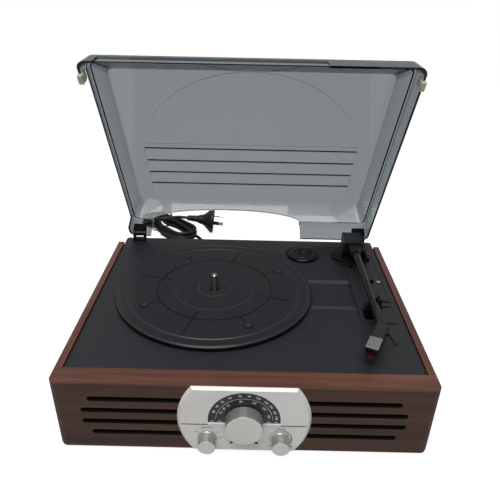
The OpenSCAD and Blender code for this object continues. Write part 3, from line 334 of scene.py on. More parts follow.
@dataclass(frozen=True)
class WoodFoil(Finish):
    """Printed walnut foil on board, with a clear satin lacquer. Long streaks and dark pores run one way."""

    grain: Grain = Grain.ACROSS
    light: str = "#734737"
    dark: str = "#41261d"
    streak_mm: Pair = (90.0, 1.7)  # length and width, as in the two below
    band_mm: Pair = (300.0, 14.0)
    pore_mm: Pair = (9.0, 0.7)
    figure_span: Pair = (0.72, 1.28)  # where the print goes from dark to light
    pore_span: Pair = (0.6, 0.72)
    pore_shade: float = 0.72
    pore_depth_mm: float = 0.03
    # painted shade: a tint multiplied over the front face, everything below top_mm
    front_shade: str = "#ffffff"  # over everything below top_mm
    top_mm: float = 81.0
    top_blend_mm: float = 0.8
    # near black over what lies deeper than cut_depth_mm behind the face, within cut_reach_mm and below
    # top_mm: the cuts' walls and the back
    cut_colour: str = "#141313"  # over what lies deeper than cut_depth_mm and within cut_reach_mm
    cut_depth_mm: float = 1000.0
    cut_reach_mm: float = 160.0
    cut_blend_mm: Pair = (0.15, 0.3)

    def along(self, on: Surface, size_mm: Pair) -> Socket:
        """Stretches the coordinates so that a pattern of size 1 becomes a streak.

        Args:
            on: Surface that the pattern lies on.
            size_mm: Length and width of a streak.

        Returns:
            The stretched coordinates.
        """
        slow, fast = (1 / (size * MM) for size in size_mm)
        scale = (slow, fast, fast) if self.grain is Grain.ACROSS else (fast, slow, fast)
        return add_node(on.tree, "ShaderNodeMapping", {"Vector": on.where, "Scale": scale}).outputs[0]

    def figure(self, on: Surface, pores: Socket) -> Socket:
        """Prints the wood's figure, darker in its open pores.

        Args:
            on: Surface that takes the print.
            pores: Value of the print, low in a pore.

        Returns:
            The printed colour.
        """
        streaks = add_node(on.tree, "ShaderNodeTexNoise", {
            "Vector": self.along(on, self.streak_mm), "Scale": 1.0, "Detail": 6.0, "Roughness": 0.62,
            "Distortion": 0.4})
        bands = add_node(on.tree, "ShaderNodeTexNoise", {
            "Vector": self.along(on, self.band_mm), "Scale": 1.0, "Detail": 3.0})
        both = add_node(on.tree, "ShaderNodeMath", {0: streaks.outputs["Fac"], 1: bands.outputs["Fac"]},
                        operation="ADD")
        wood = add_node(on.tree, "ShaderNodeMapRange", {
            "Value": both.outputs[0], "From Min": self.figure_span[0], "From Max": self.figure_span[1]})
        tone = add_node(on.tree, "ShaderNodeMix", {
            "Factor": wood.outputs[0], "A": linear(self.dark), "B": linear(self.light)}, data_type="RGBA")
        return add_node(on.tree, "ShaderNodeHueSaturation", {
            "Color": tone.outputs["Result"], "Value": pores}).outputs[0]

    def dress(self, on: Surface) -> None:
        """Adds the figure, the pores, painted shade on the front face and a near-black colour inside its
        cuts.

        Args:
            on: Surface to dress.
        """
        holes = add_node(on.tree, "ShaderNodeTexNoise", {
            "Vector": self.along(on, self.pore_mm), "Scale": 1.0, "Detail": 2.0})
        pores = add_node(on.tree, "ShaderNodeMapRange", {
            "Value": holes.outputs["Fac"], "From Min": self.pore_span[0], "From Max": self.pore_span[1],
            "To Min": 1.0, "To Max": self.pore_shade}).outputs[0]
        spot = add_node(on.tree, "ShaderNodeSeparateXYZ", {0: on.where})
        below = add_node(on.tree, "ShaderNodeMapRange", {
            "Value": spot.outputs["Z"], "From Min": (self.top_mm - self.top_blend_mm) * MM,
            "From Max": self.top_mm * MM, "To Min": 1.0, "To Max": 0.0})
        # painted shade: the front tint over everything below the top
        faced = add_node(on.tree, "ShaderNodeMix", {
            "Factor": below.outputs[0], "A": self.figure(on, pores), "B": linear(self.front_shade)},
            data_type="RGBA", blend_type="MULTIPLY")
        cut_face = self.cut_depth_mm - FRONT_TO_MIDDLE
        cut = add_node(on.tree, "ShaderNodeMapRange", {
            "Value": spot.outputs["Y"], "From Min": cut_face * MM,
            "From Max": (cut_face + self.cut_blend_mm[0]) * MM})
        sideways = add_node(on.tree, "ShaderNodeMath", {0: spot.outputs["X"]}, operation="ABSOLUTE")
        within = add_node(on.tree, "ShaderNodeMapRange", {
            "Value": sideways.outputs[0], "From Min": self.cut_reach_mm * MM,
            "From Max": (self.cut_reach_mm + self.cut_blend_mm[1]) * MM, "To Min": 1.0, "To Max": 0.0})
        deep = add_node(on.tree, "ShaderNodeMath", {0: cut.outputs[0], 1: below.outputs[0]},
                        operation="MULTIPLY")
        inside = add_node(on.tree, "ShaderNodeMath", {0: deep.outputs[0], 1: within.outputs[0]},
                          operation="MULTIPLY")
        # near black over the cuts' walls and the back, where the mask is full
        painted = add_node(on.tree, "ShaderNodeMix", {
            "Factor": inside.outputs[0], "A": faced.outputs["Result"], "B": linear(self.cut_colour)},
            data_type="RGBA")
        self.drift(on, painted.outputs["Result"])
        self.relief(on, pores, self.pore_depth_mm)


@dataclass(frozen=True)
class FlakePaint(Finish):
    """Silver paint sprayed on moulded plastic. Fine aluminium flakes give a soft metallic sparkle."""

    flake_mm: float = 0.9  # real flakes are under 0.1 mm, drawn coarser so that they show
    flake_tone: float = 0.035
    depth_mm: float = 0.006

    def dress(self, on: Surface) -> None:
        """Adds the flakes, each with its own tone and tilt.

        Args:
            on: Surface to dress.
        """
        flakes = add_node(on.tree, "ShaderNodeTexVoronoi", {
            "Vector": on.where, "Scale": 1 / (self.flake_mm * MM)})
        speck = add_node(on.tree, "ShaderNodeMapRange", {
            "Value": flakes.outputs["Color"], "To Min": 1 - self.flake_tone, "To Max": 1 + self.flake_tone})
        toned = add_node(on.tree, "ShaderNodeHueSaturation", {
            "Color": self.tone(on), "Value": speck.outputs[0]})
        self.drift(on, toned.outputs[0])
        self.relief(on, flakes.outputs["Distance"], self.depth_mm)


@dataclass(frozen=True)
class SideShadedKnobPaint(FlakePaint):
    """Silver paint on a knob, with painted shade on its side: the side is darker than the face."""

    # painted shade: the darker colour of the knob's side
    side: str = "#a3a2a0"
    face_edge: Pair = (0.35, 0.75)  # share of the normal along the axis, from side to face
    depth_mm: float = 0.002

    def tone(self, on: Surface) -> Socket:
        """Makes the colour with painted shade, darker where the surface faces away from the knob's axis.

        Args:
            on: Surface that takes the colour.

        Returns:
            The socket that gives it.
        """
        facing = add_node(on.tree, "ShaderNodeSeparateXYZ", {
            0: add_node(on.tree, "ShaderNodeNewGeometry").outputs["True Normal"]})
        ahead = add_node(on.tree, "ShaderNodeMath", {0: facing.outputs["Y"]}, operation="ABSOLUTE")
        share = add_node(on.tree, "ShaderNodeMapRange", {
            "Value": ahead.outputs[0], "From Min": self.face_edge[0], "From Max": self.face_edge[1]})
        return add_node(on.tree, "ShaderNodeMix", {
            "Factor": share.outputs[0], "A": linear(self.side), "B": linear(self.colour)},
            data_type="RGBA").outputs["Result"]


@dataclass(frozen=True)
class TurnedMetal(Finish):
    """Metal turned or drawn: fine lines run round it, and reflections stretch across them."""

    line_mm: float = 0.5
    drag_mm: float = 50.0
    depth_mm: float = 0.01

    def dress(self, on: Surface) -> None:
        """Adds the lines that the tool left, one above the other.

        Args:
            on: Surface to dress.
        """
        super().dress(on)
        fine, slow = 1 / (self.line_mm * MM), 1 / (self.drag_mm * MM)
        stretched = add_node(on.tree, "ShaderNodeMapping", {"Vector": on.where, "Scale": (slow, slow, fine)})
        lines = add_node(on.tree, "ShaderNodeTexNoise", {
            "Vector": stretched.outputs[0], "Scale": 1.0, "Detail": 2.0})
        self.relief(on, lines.outputs["Fac"], self.depth_mm)


@dataclass(frozen=True)
class SmokedAcrylic(Finish):
    """Clear acrylic dyed grey and moulded with polished faces: light dims with its path, so edges go navy."""

    dye: str = "#4c6a80"
    density: float = 330.0
    haze_mm: float = 1000 / 14
    haze_span: Pair = (0.35, 0.7)
    wiped: Pair = (0.4, 1.6)  # share of the roughness, from clean to hazy

    def dress(self, on: Surface) -> None:
        """Adds the dye inside and the faint haze that wiping leaves.

        Args:
            on: Surface to dress.
        """
        on.shader.inputs["Transmission Weight"].default_value = 1.0
        haze = add_node(on.tree, "ShaderNodeTexNoise", {
            "Vector": on.where, "Scale": 1 / (self.haze_mm * MM), "Detail": 5.0})
        gloss = add_node(on.tree, "ShaderNodeMapRange", {
            "Value": haze.outputs["Fac"], "From Min": self.haze_span[0], "From Max": self.haze_span[1],
            "To Min": self.roughness * self.wiped[0], "To Max": self.roughness * self.wiped[1]})
        on.tree.links.new(gloss.outputs[0], on.shader.inputs["Roughness"])
        dye = add_node(on.tree, "ShaderNodeVolumeAbsorption", {
            "Color": linear(self.dye), "Density": self.density})
        on.tree.links.new(dye.outputs[0], on.output.inputs["Volume"])


@dataclass(frozen=True)
class SoftVinyl(Finish):
    """Soft moulded vinyl or rubber: smooth, a little waxy, with a bloom of dust in its hollows."""

    bloom: str = "#3a3a3a"
    bloom_mm: float = 6.25
    bloom_span: Pair = (0.5, 0.8)
    bloom_share: float = 0.5
    depth_mm: float = 0.05

    def dress(self, on: Surface) -> None:
        """Adds the bloom and the slight unevenness of a soft moulding.

        Args:
            on: Surface to dress.
        """
        dust = add_node(on.tree, "ShaderNodeTexNoise", {
            "Vector": on.where, "Scale": 1 / (self.bloom_mm * MM), "Detail": 5.0})
        amount = add_node(on.tree, "ShaderNodeMapRange", {
            "Value": dust.outputs["Fac"], "From Min": self.bloom_span[0], "From Max": self.bloom_span[1],
            "To Max": self.bloom_share})
        tone = add_node(on.tree, "ShaderNodeMix", {
            "Factor": amount.outputs[0], "A": linear(self.colour), "B": linear(self.bloom)},
            data_type="RGBA")
        self.drift(on, tone.outputs["Result"])
        self.relief(on, dust.outputs["Fac"], self.depth_mm)


@dataclass(frozen=True)
class WovenCloth(Finish):
    """Plain-woven loudspeaker cloth of black thread: warp and weft cross over and under."""

    thread_mm: float = 1.2  # the real thread spacing is about 0.5 mm, drawn coarser so that it shows
    waver: float = 0.6
    thread_tone: Pair = (0.55, 1.25)
    depth_mm: float = 0.3

    def dress(self, on: Surface) -> None:
        """Adds the two sets of threads.

        Args:
            on: Surface to dress.
        """
        scale = math.pi / (10 * self.thread_mm * MM)
        sets = [add_node(on.tree, "ShaderNodeTexWave", {
            "Vector": on.where, "Scale": scale, "Distortion": self.waver},
            wave_type="BANDS", bands_direction=way).outputs["Fac"] for way in ("X", "Z")]
        weave = add_node(on.tree, "ShaderNodeMath", {0: sets[0], 1: sets[1]}, operation="MAXIMUM")
        value = add_node(on.tree, "ShaderNodeMapRange", {
            "Value": weave.outputs[0], "To Min": self.thread_tone[0], "To Max": self.thread_tone[1]})
        toned = add_node(on.tree, "ShaderNodeHueSaturation", {
            "Color": linear(self.colour), "Value": value.outputs[0]})
        self.drift(on, toned.outputs[0])
        self.relief(on, weave.outputs[0], self.depth_mm)


@dataclass(frozen=True)
class PressedPaper(Finish):
    """Pressed paper pulp, as in a loudspeaker cone: matt, with short fibres."""

    fibre_mm: float = 10 / 9
    depth_mm: float = 0.15

    def dress(self, on: Surface) -> None:
        """Adds the fibres.

        Args:
            on: Surface to dress.
        """
        super().dress(on)
        fibres = add_node(on.tree, "ShaderNodeTexNoise", {
            "Vector": on.where, "Scale": 1 / (self.fibre_mm * MM), "Detail": 4.0, "Distortion": 2.0})
        self.relief(on, fibres.outputs["Fac"], self.depth_mm)


@dataclass(frozen=True)
class SolderMask(Finish):
    """Green solder mask on a printed board: copper tracks show through it as a lighter, raised net."""

    track_mm: float = 6.25
    track_edge: Pair = (0.08, 0.12)
    track_tone: Pair = (1.35, 0.9)
    depth_mm: float = 0.04

    def dress(self, on: Surface) -> None:
        """Adds the tracks.

        Args:
            on: Surface to dress.
        """
        cells = add_node(on.tree, "ShaderNodeTexVoronoi", {
            "Vector": on.where, "Scale": 1 / (self.track_mm * MM), "Randomness": 0.6},
            feature="DISTANCE_TO_EDGE")
        track = add_node(on.tree, "ShaderNodeMapRange", {
            "Value": cells.outputs[0], "From Min": self.track_edge[0], "From Max": self.track_edge[1],
            "To Min": self.track_tone[0], "To Max": self.track_tone[1]})
        toned = add_node(on.tree, "ShaderNodeHueSaturation", {
            "Color": linear(self.colour), "Value": track.outputs[0]})
        self.drift(on, toned.outputs[0])
        self.relief(on, track.outputs[0], self.depth_mm)


@dataclass(frozen=True)
class RawPine(Finish):
    """Sawn pine: pale early wood between darker rings, with the saw's fine marks across."""

    ring: str = "#a07a48"
    ring_mm: float = 5.236
    depth_mm: float = 0.1

    def dress(self, on: Surface) -> None:
        """Adds the year rings.

        Args:
            on: Surface to dress.
        """
        rings = add_node(on.tree, "ShaderNodeTexWave", {
            "Vector": on.where, "Scale": math.pi / (10 * self.ring_mm * MM), "Distortion": 5.0,
            "Detail": 3.0}, wave_type="RINGS")
        tone = add_node(on.tree, "ShaderNodeMix", {
            "Factor": rings.outputs["Fac"], "A": linear(self.colour), "B": linear(self.ring)},
            data_type="RGBA")
        self.drift(on, tone.outputs["Result"])
        self.relief(on, rings.outputs["Fac"], self.depth_mm)


@dataclass(frozen=True)
class PadPrint(Finish):
    """Ink printed with a soft pad: flat and matt, a little thin where the pad lifted."""

    thin_mm: float = 2 / 3
    thin_span: Pair = (0.4, 0.7)
    thin_tone: float = 0.8

    def dress(self, on: Surface) -> None:
        """Adds the uneven ink.

        Args:
            on: Surface to dress.
        """
        ink = add_node(on.tree, "ShaderNodeTexNoise", {
            "Vector": on.where, "Scale": 1 / (self.thin_mm * MM), "Detail": 2.0})
        value = add_node(on.tree, "ShaderNodeMapRange", {
            "Value": ink.outputs["Fac"], "From Min": self.thin_span[0], "From Max": self.thin_span[1],
            "To Min": 1.0, "To Max": self.thin_tone})
        toned = add_node(on.tree, "ShaderNodeHueSaturation", {
            "Color": linear(self.colour), "Value": value.outputs[0]})
        on.tree.links.new(toned.outputs[0], on.shader.inputs["Base Color"])


# Walnut foil: a brown, streaked satin. The front face has painted shade: a grey-green tint darkens it.
WALNUT_FRONT = WoodFoil("walnut_foil_front", "#5e4238", roughness=0.42, front_shade="#b9b9a8",
                        cut_depth_mm=0.1)
WALNUT_SIDE = WoodFoil("walnut_foil_side", "#5e4238", roughness=0.42, grain=Grain.DEEP, top_mm=0.0)
# Textured ABS: an even charcoal matt, with a painted sheen on its slopes and soft edges.
DECK_ABS = SlopeSheenPlastic("charcoal_abs_textured", "#242529", roughness=0.52, specular=0.38, mottle=0.06,
                       mottle_mm=60)
# Smooth ABS: deep black with small clear highlights.
BLACK_ABS = MouldedPlastic("black_abs", "#0d0d0f", roughness=0.3, specular=0.3, depth_mm=0.012)
# Half-gloss ABS: a black disc with a soft sheen, a painted highlight on its slopes and painted shade in its
# cuts and on its rim.
PLATTER_ABS = GrooveShadePlastic("black_abs_platter", "#222326", roughness=0.34, specular=0.28, depth_mm=0.012,
                             mottle_mm=50, painted_sheen="#37383d", slope=(0.5, 0.6, 0.95, 0.99))
# Glossier ABS: a long highlight runs down the tonearm.
ARM_ABS = MouldedPlastic("grey_black_abs_arm", "#131415", roughness=0.24, specular=0.4, depth_mm=0.01)
# The same with moulded lines: stripes of light across the arm's housing.
LINED_ABS = LinedPlastic("grey_black_abs_lined", "#151617", roughness=0.34, specular=0.4)
# Sprayed silver: a pale satin plate, and knobs with painted shade on their sides, which leaves the face
# brighter.
SILVER_PLATE = FlakePaint("silver_paint_plate", "#e6e5e2", roughness=0.38, metallic=0.2)
SILVER_KNOB = SideShadedKnobPaint("silver_paint_knob", "#e8e5e1", roughness=0.26, metallic=0.6)
# Bare metals: bright lines of light along turned steel, nickel plate and brass.
STEEL = TurnedMetal("bright_steel", "#b8bbbf", roughness=0.28, metallic=1.0)
NICKEL = TurnedMetal("plated_spindle", "#c9c6be", roughness=0.16, metallic=1.0)
BRASS = TurnedMetal("turned_brass", "#c9a35a", roughness=0.25, metallic=1.0)
# Acrylic: grey glass that darkens where it is seen along its thickness.
SMOKE = SmokedAcrylic("smoked_acrylic", "#bcbfbe", roughness=0.05, ior=1.49)
# Vinyl and rubber: waxy, with soft wide highlights.
FROST_VINYL = SoftVinyl("pale_soft_vinyl", "#c9c6b6", roughness=0.45, bloom="#8f8c80")
BLACK_VINYL = SoftVinyl("black_soft_vinyl", "#141415", roughness=0.42, bloom="#2c2c2d")
BLACK_RUBBER = SoftVinyl("black_rubber", "#151515", roughness=0.62, bloom="#303030")
TAN_RUBBER = SoftVinyl("tan_rubber_band", "#a98f62", roughness=0.6, bloom="#c8b48c")
# Inside pieces: dull cloth, paper, board, pine, nylon and laminated iron.
CLOTH = WovenCloth("black_speaker_cloth", "#1b1b1d", roughness=0.85)
PAPER = PressedPaper("pressed_cone_paper", "#4b4a48", roughness=0.9)
BOARD = SolderMask("green_solder_mask", "#2f5d3a", roughness=0.35)
PINE = RawPine("raw_pine", "#b79a6d", roughness=0.75)
NYLON = MouldedPlastic("natural_nylon", "#d8d4c4", roughness=0.5)
IRON = TurnedMetal("laminated_iron", "#77797c", roughness=0.45, metallic=0.8, line_mm=0.9)
# Lacquered film: a dark blue-black half ring with a clear gloss over it.
DIAL_FILM = Finish("dial_film_lacquered", "#20222a", roughness=0.25, coat=0.4)
# Smooth small mouldings: dark red with a clear gloss, unlit lenses, a pale grey cap.
RED_PLASTIC = MouldedPlastic("dark_red_plastic", "#3d0f0d", roughness=0.25, depth_mm=0.008)
LAMP_RED = MouldedPlastic("unlit_red_lens", "#2a100e", roughness=0.15, depth_mm=0.005)
GREY_ABS = MouldedPlastic("light_grey_abs", "#717375", roughness=0.45, depth_mm=0.02)
# Pad printing: flat ink with crisp edges. The dark ink also paints shade into the plate's groove.
WHITE_INK = PadPrint("white_print", "#d9dad8", roughness=0.6)
DARK_INK_AND_SHADE = PadPrint("dark_print_and_shade", "#111112", roughness=0.6)


def dress_nodes(finishes: dict[str, Finish]) -> None:
    """Gives each drawn node its finish.

    Args:
        finishes: Finish of each node, by the node's name.
    """
    for node, finish in finishes.items():
        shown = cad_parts[node]
        if not shown.material_slots:
            shown.data.materials.append(None)
        for slot in shown.material_slots:
            slot.material = finish.material()
        LOG.info("dressed %s with %s", node, finish.name)


# ---- Meshes ----


@dataclass
class Shape:
    """Vertices and faces of one piece, in metres, gathered from simple forms."""

    vertices: list[Vector] = field(default_factory=list)
    faces: list[tuple[int, ...]] = field(default_factory=list)

    def add(self, vertices: Sequence[Vector], faces: Sequence[Sequence[int]]) -> None:
        """Adds a form.

        Args:
            vertices: Its points.
            faces: Its faces, counted from its own first point.
        """
        first = len(self.vertices)
        self.vertices += [Vector(v) for v in vertices]
        self.faces += [tuple(first + i for i in f) for f in faces]

    def sweep(self, path: Sequence[Vector], section: Sequence[Pair], closed: bool = False) -> None:
        """Adds a tube whose section is carried along a path without twisting.

        Args:
            path: Points of its centre line.
            section: Section as (sideways, upwards) from the centre line.
            closed: True for a loop.
        """
        count, sides = len(path), len(section)
        rings, side = [], None
        for i, point in enumerate(path):
            before = path[i - 1] if i or closed else path[i]
            after = path[(i + 1) % count] if i + 1 < count or closed else path[i]
            heading = (after - before).normalized()
            if side is None:
                side = heading.cross(Vector((0, 0, 1)))
                side = side if side.length > 0.1 else Vector((1, 0, 0))
            side = (side - heading * side.dot(heading)).normalized()
            up = side.cross(heading)
            rings += [point + side * u + up * v for u, v in section]
        spans = count if closed else count - 1
        faces = [(i * sides + k, i * sides + (k + 1) % sides, (i + 1) % count * sides + (k + 1) % sides,
                  (i + 1) % count * sides + k) for i in range(spans) for k in range(sides)]
        if not closed:
            faces += [tuple(range(sides))[::-1], tuple(range((count - 1) * sides, count * sides))]
        self.add(rings, faces)

    def lathe(self, profile: Sequence[Pair], turn: Matrix, steps: int = 64) -> None:
        """Adds a solid of revolution round its own X axis.

        Args:
            profile: Points as (along the axis, radius) in millimetres. The ends lie on the axis.
            turn: Matrix that puts it in place.
            steps: Points round the axis.
        """
        ends = [Vector((profile[0][0], 0, 0)), Vector((profile[-1][0], 0, 0))]
        rings = [Vector((x, r * math.cos(math.tau * k / steps), r * math.sin(math.tau * k / steps)))
                 for x, r in profile[1:-1] for k in range(steps)]
        count = len(profile) - 2
        faces = [(2 + i * steps + k, 2 + i * steps + (k + 1) % steps, 2 + (i + 1) * steps + (k + 1) % steps,
                  2 + (i + 1) * steps + k) for i in range(count - 1) for k in range(steps)]
        faces += [(0, 2 + (k + 1) % steps, 2 + k) for k in range(steps)]
        last = 2 + (count - 1) * steps
        faces += [(1, last + k, last + (k + 1) % steps) for k in range(steps)]
        self.add([turn @ (p * MM) for p in ends + rings], faces)

    def block(self, low: Sequence[float], high: Sequence[float], turn: Matrix, bevel: float) -> None:
        """Adds a block with rounded edges.

        Args:
            low: Lowest corner in millimetres.
            high: Highest corner in millimetres.
            turn: Matrix that puts it in place.
            bevel: Radius of its edges in millimetres.
        """
        made = bmesh.new()
        bmesh.ops.create_cube(made, size=1.0)
        for vert in made.verts:
            vert.co = Vector([a + (b - a) * (c + 0.5) for a, b, c in zip(low, high, vert.co)]) * MM
        bmesh.ops.bevel(made, geom=list(made.edges), offset=bevel * MM, segments=3, affect="EDGES",
                        profile=0.5)
        self.add([turn @ v.co for v in made.verts], [[v.index for v in f.verts] for f in made.faces])
        made.free()

    def piece(self, name: str, finish: Finish, slot: str, body: Body,
              sharp: float = 40.0) -> bpy.types.Object:
        """Makes the gathered forms into one piece that rides on a body.

        Args:
            name: Name of the piece.
            finish: Its finish.
            slot: Name of a slot of the record. Not used.
            body: Body that it moves with.
            sharp: Edges steeper than this angle in degrees stay sharp.

        Returns:
            The new object.
        """
        mesh = bpy.data.meshes.new(name)
        mesh.from_pydata(self.vertices, [], self.faces)
        tidy = bmesh.new()
        tidy.from_mesh(mesh)
        bmesh.ops.recalc_face_normals(tidy, faces=tidy.faces)
        tidy.to_mesh(mesh)
        tidy.free()
        mesh.shade_smooth()
        mesh.set_sharp_from_angle(angle=math.radians(sharp))
        mesh.materials.append(finish.material())
        made = bpy.data.objects.new(name, mesh)
        bpy.context.scene.collection.objects.link(made)
        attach(made, body.value)
        LOG.info("made %s: %d faces", name, len(mesh.polygons))
        return made


def smooth_path(points: Sequence[Vector], parts: int = 3) -> list[Vector]:
    """Runs one smooth curve through points.

    Args:
        points: Points that the curve passes.
        parts: Pieces that each span is split into.

    Returns:
        The points of the curve.
    """
    out = []
    for i in range(len(points) - 1):
        before, start = points[max(i - 1, 0)], points[i]
        end, after = points[i + 1], points[min(i + 2, len(points) - 1)]
        for k in range(parts):
            t = k / parts
            bend = (2 * before - 5 * start + 4 * end - after) * t * t
            out.append(0.5 * (2 * start + (end - before) * t + bend
                              + (3 * start - before - 3 * end + after) * t ** 3))
    return out + [points[-1]]


def round_section(radius: float, sides: int) -> list[Pair]:
    """Returns a round section of a radius in metres."""
    return [(radius * math.cos(math.tau * k / sides), radius * math.sin(math.tau * k / sides))
            for k in range(sides)]


@dataclass
class Print:
    """Printing on a flat face: letters, arcs and bars on one thin layer of ink."""

    origin: Vector
    right: Vector
    up: Vector
    ink: float = 0.03
    capital: float = 0.7  # height of a capital in a font of size 1
    shape: Shape = field(default_factory=Shape)

    def spot(self, x: float, y: float, out: float = 0.0) -> Vector:
        """Returns the point x to the right, y up and out off the face, in millimetres."""
        return self.origin + (self.right * x + self.up * y + self.right.cross(self.up) * out) * MM

    def outline(self, points: Sequence[Pair]) -> None:
        """Prints a filled outline.

        Args:
            points: Its corners, anticlockwise, in millimetres.
        """
        count = len(points)
        low, high = ([self.spot(x, y, out) for x, y in points] for out in (-self.ink, self.ink))
        walls = [(k, (k + 1) % count, count + (k + 1) % count, count + k) for k in range(count)]
        self.shape.add(low + high, [tuple(range(count))[::-1], tuple(range(count, 2 * count)), *walls])

    def bar(self, x: float, y: float, width: float, height: float, turn: float = 0.0) -> None:
        """Prints a bar.

        Args:
            x: Its middle.
            y: Its middle.
            width: Its length along the unturned line.
            height: Its thickness.
            turn: Angle in degrees.
        """
        c, s = math.cos(math.radians(turn)), math.sin(math.radians(turn))
        corners = [(-width / 2, -height / 2), (width / 2, -height / 2), (width / 2, height / 2),
                   (-width / 2, height / 2)]
        self.outline([(x + u * c - v * s, y + u * s + v * c) for u, v in corners])

    def arc(self, x: float, y: float, radius: float, start: float, end: float, widths: Pair,
            steps: int = 48) -> None:
        """Prints an arc whose line grows from one width to another.

        Args:
            x: Middle of the arc.
            y: Middle of the arc.
            radius: Radius of its outer edge.
            start: Angle of its start in degrees, anticlockwise from the right.
            end: Angle of its end.
            widths: Width of the line at its start and its end.
            steps: Number of short straight pieces.
        """
        outer, inner = [], []
        for k in range(steps + 1):
            share = k / steps
            a = math.radians(start + (end - start) * share)
            r = radius - (widths[0] + (widths[1] - widths[0]) * share)
            outer.append((x + radius * math.cos(a), y + radius * math.sin(a)))
            inner.append((x + r * math.cos(a), y + r * math.sin(a)))
        for k in range(steps):
            self.outline([inner[k], outer[k], outer[k + 1], inner[k + 1]])

    def text(self, words: str, x: float, y: float, height: float, turn: float = 0.0,
             bold: float = 0.05) -> None:
        """Prints generic lettering, centred.

        Args:
            words: What it says.
            x: Its middle.
            y: Its middle.
            height: Height of a capital.
            turn: Angle in degrees.
            bold: How much its strokes are fattened on each side, in millimetres.
        """
        curve = bpy.data.curves.new("lettering", "FONT")
        curve.body, curve.align_x, curve.align_y = words, "CENTER", "CENTER"
        curve.size, curve.extrude, curve.offset = height / self.capital * MM, self.ink * MM, bold * MM
        curve.resolution_u = 2
        holder = bpy.data.objects.new("lettering", curve)
        bpy.context.scene.collection.objects.link(holder)
        mesh = bpy.data.meshes.new_from_object(holder.evaluated_get(bpy.context.evaluated_depsgraph_get()))
        out = self.right.cross(self.up)
        turned = Matrix((self.right, self.up, out)).transposed() @ Matrix.Rotation(math.radians(turn), 3, "Z")
        self.shape.add([self.spot(x, y) + turned @ v.co for v in mesh.vertices],
                       [tuple(p.vertices) for p in mesh.polygons])
        bpy.data.objects.remove(holder)
        bpy.data.curves.remove(curve)
        bpy.data.meshes.remove(mesh)


# ---- Studio ----


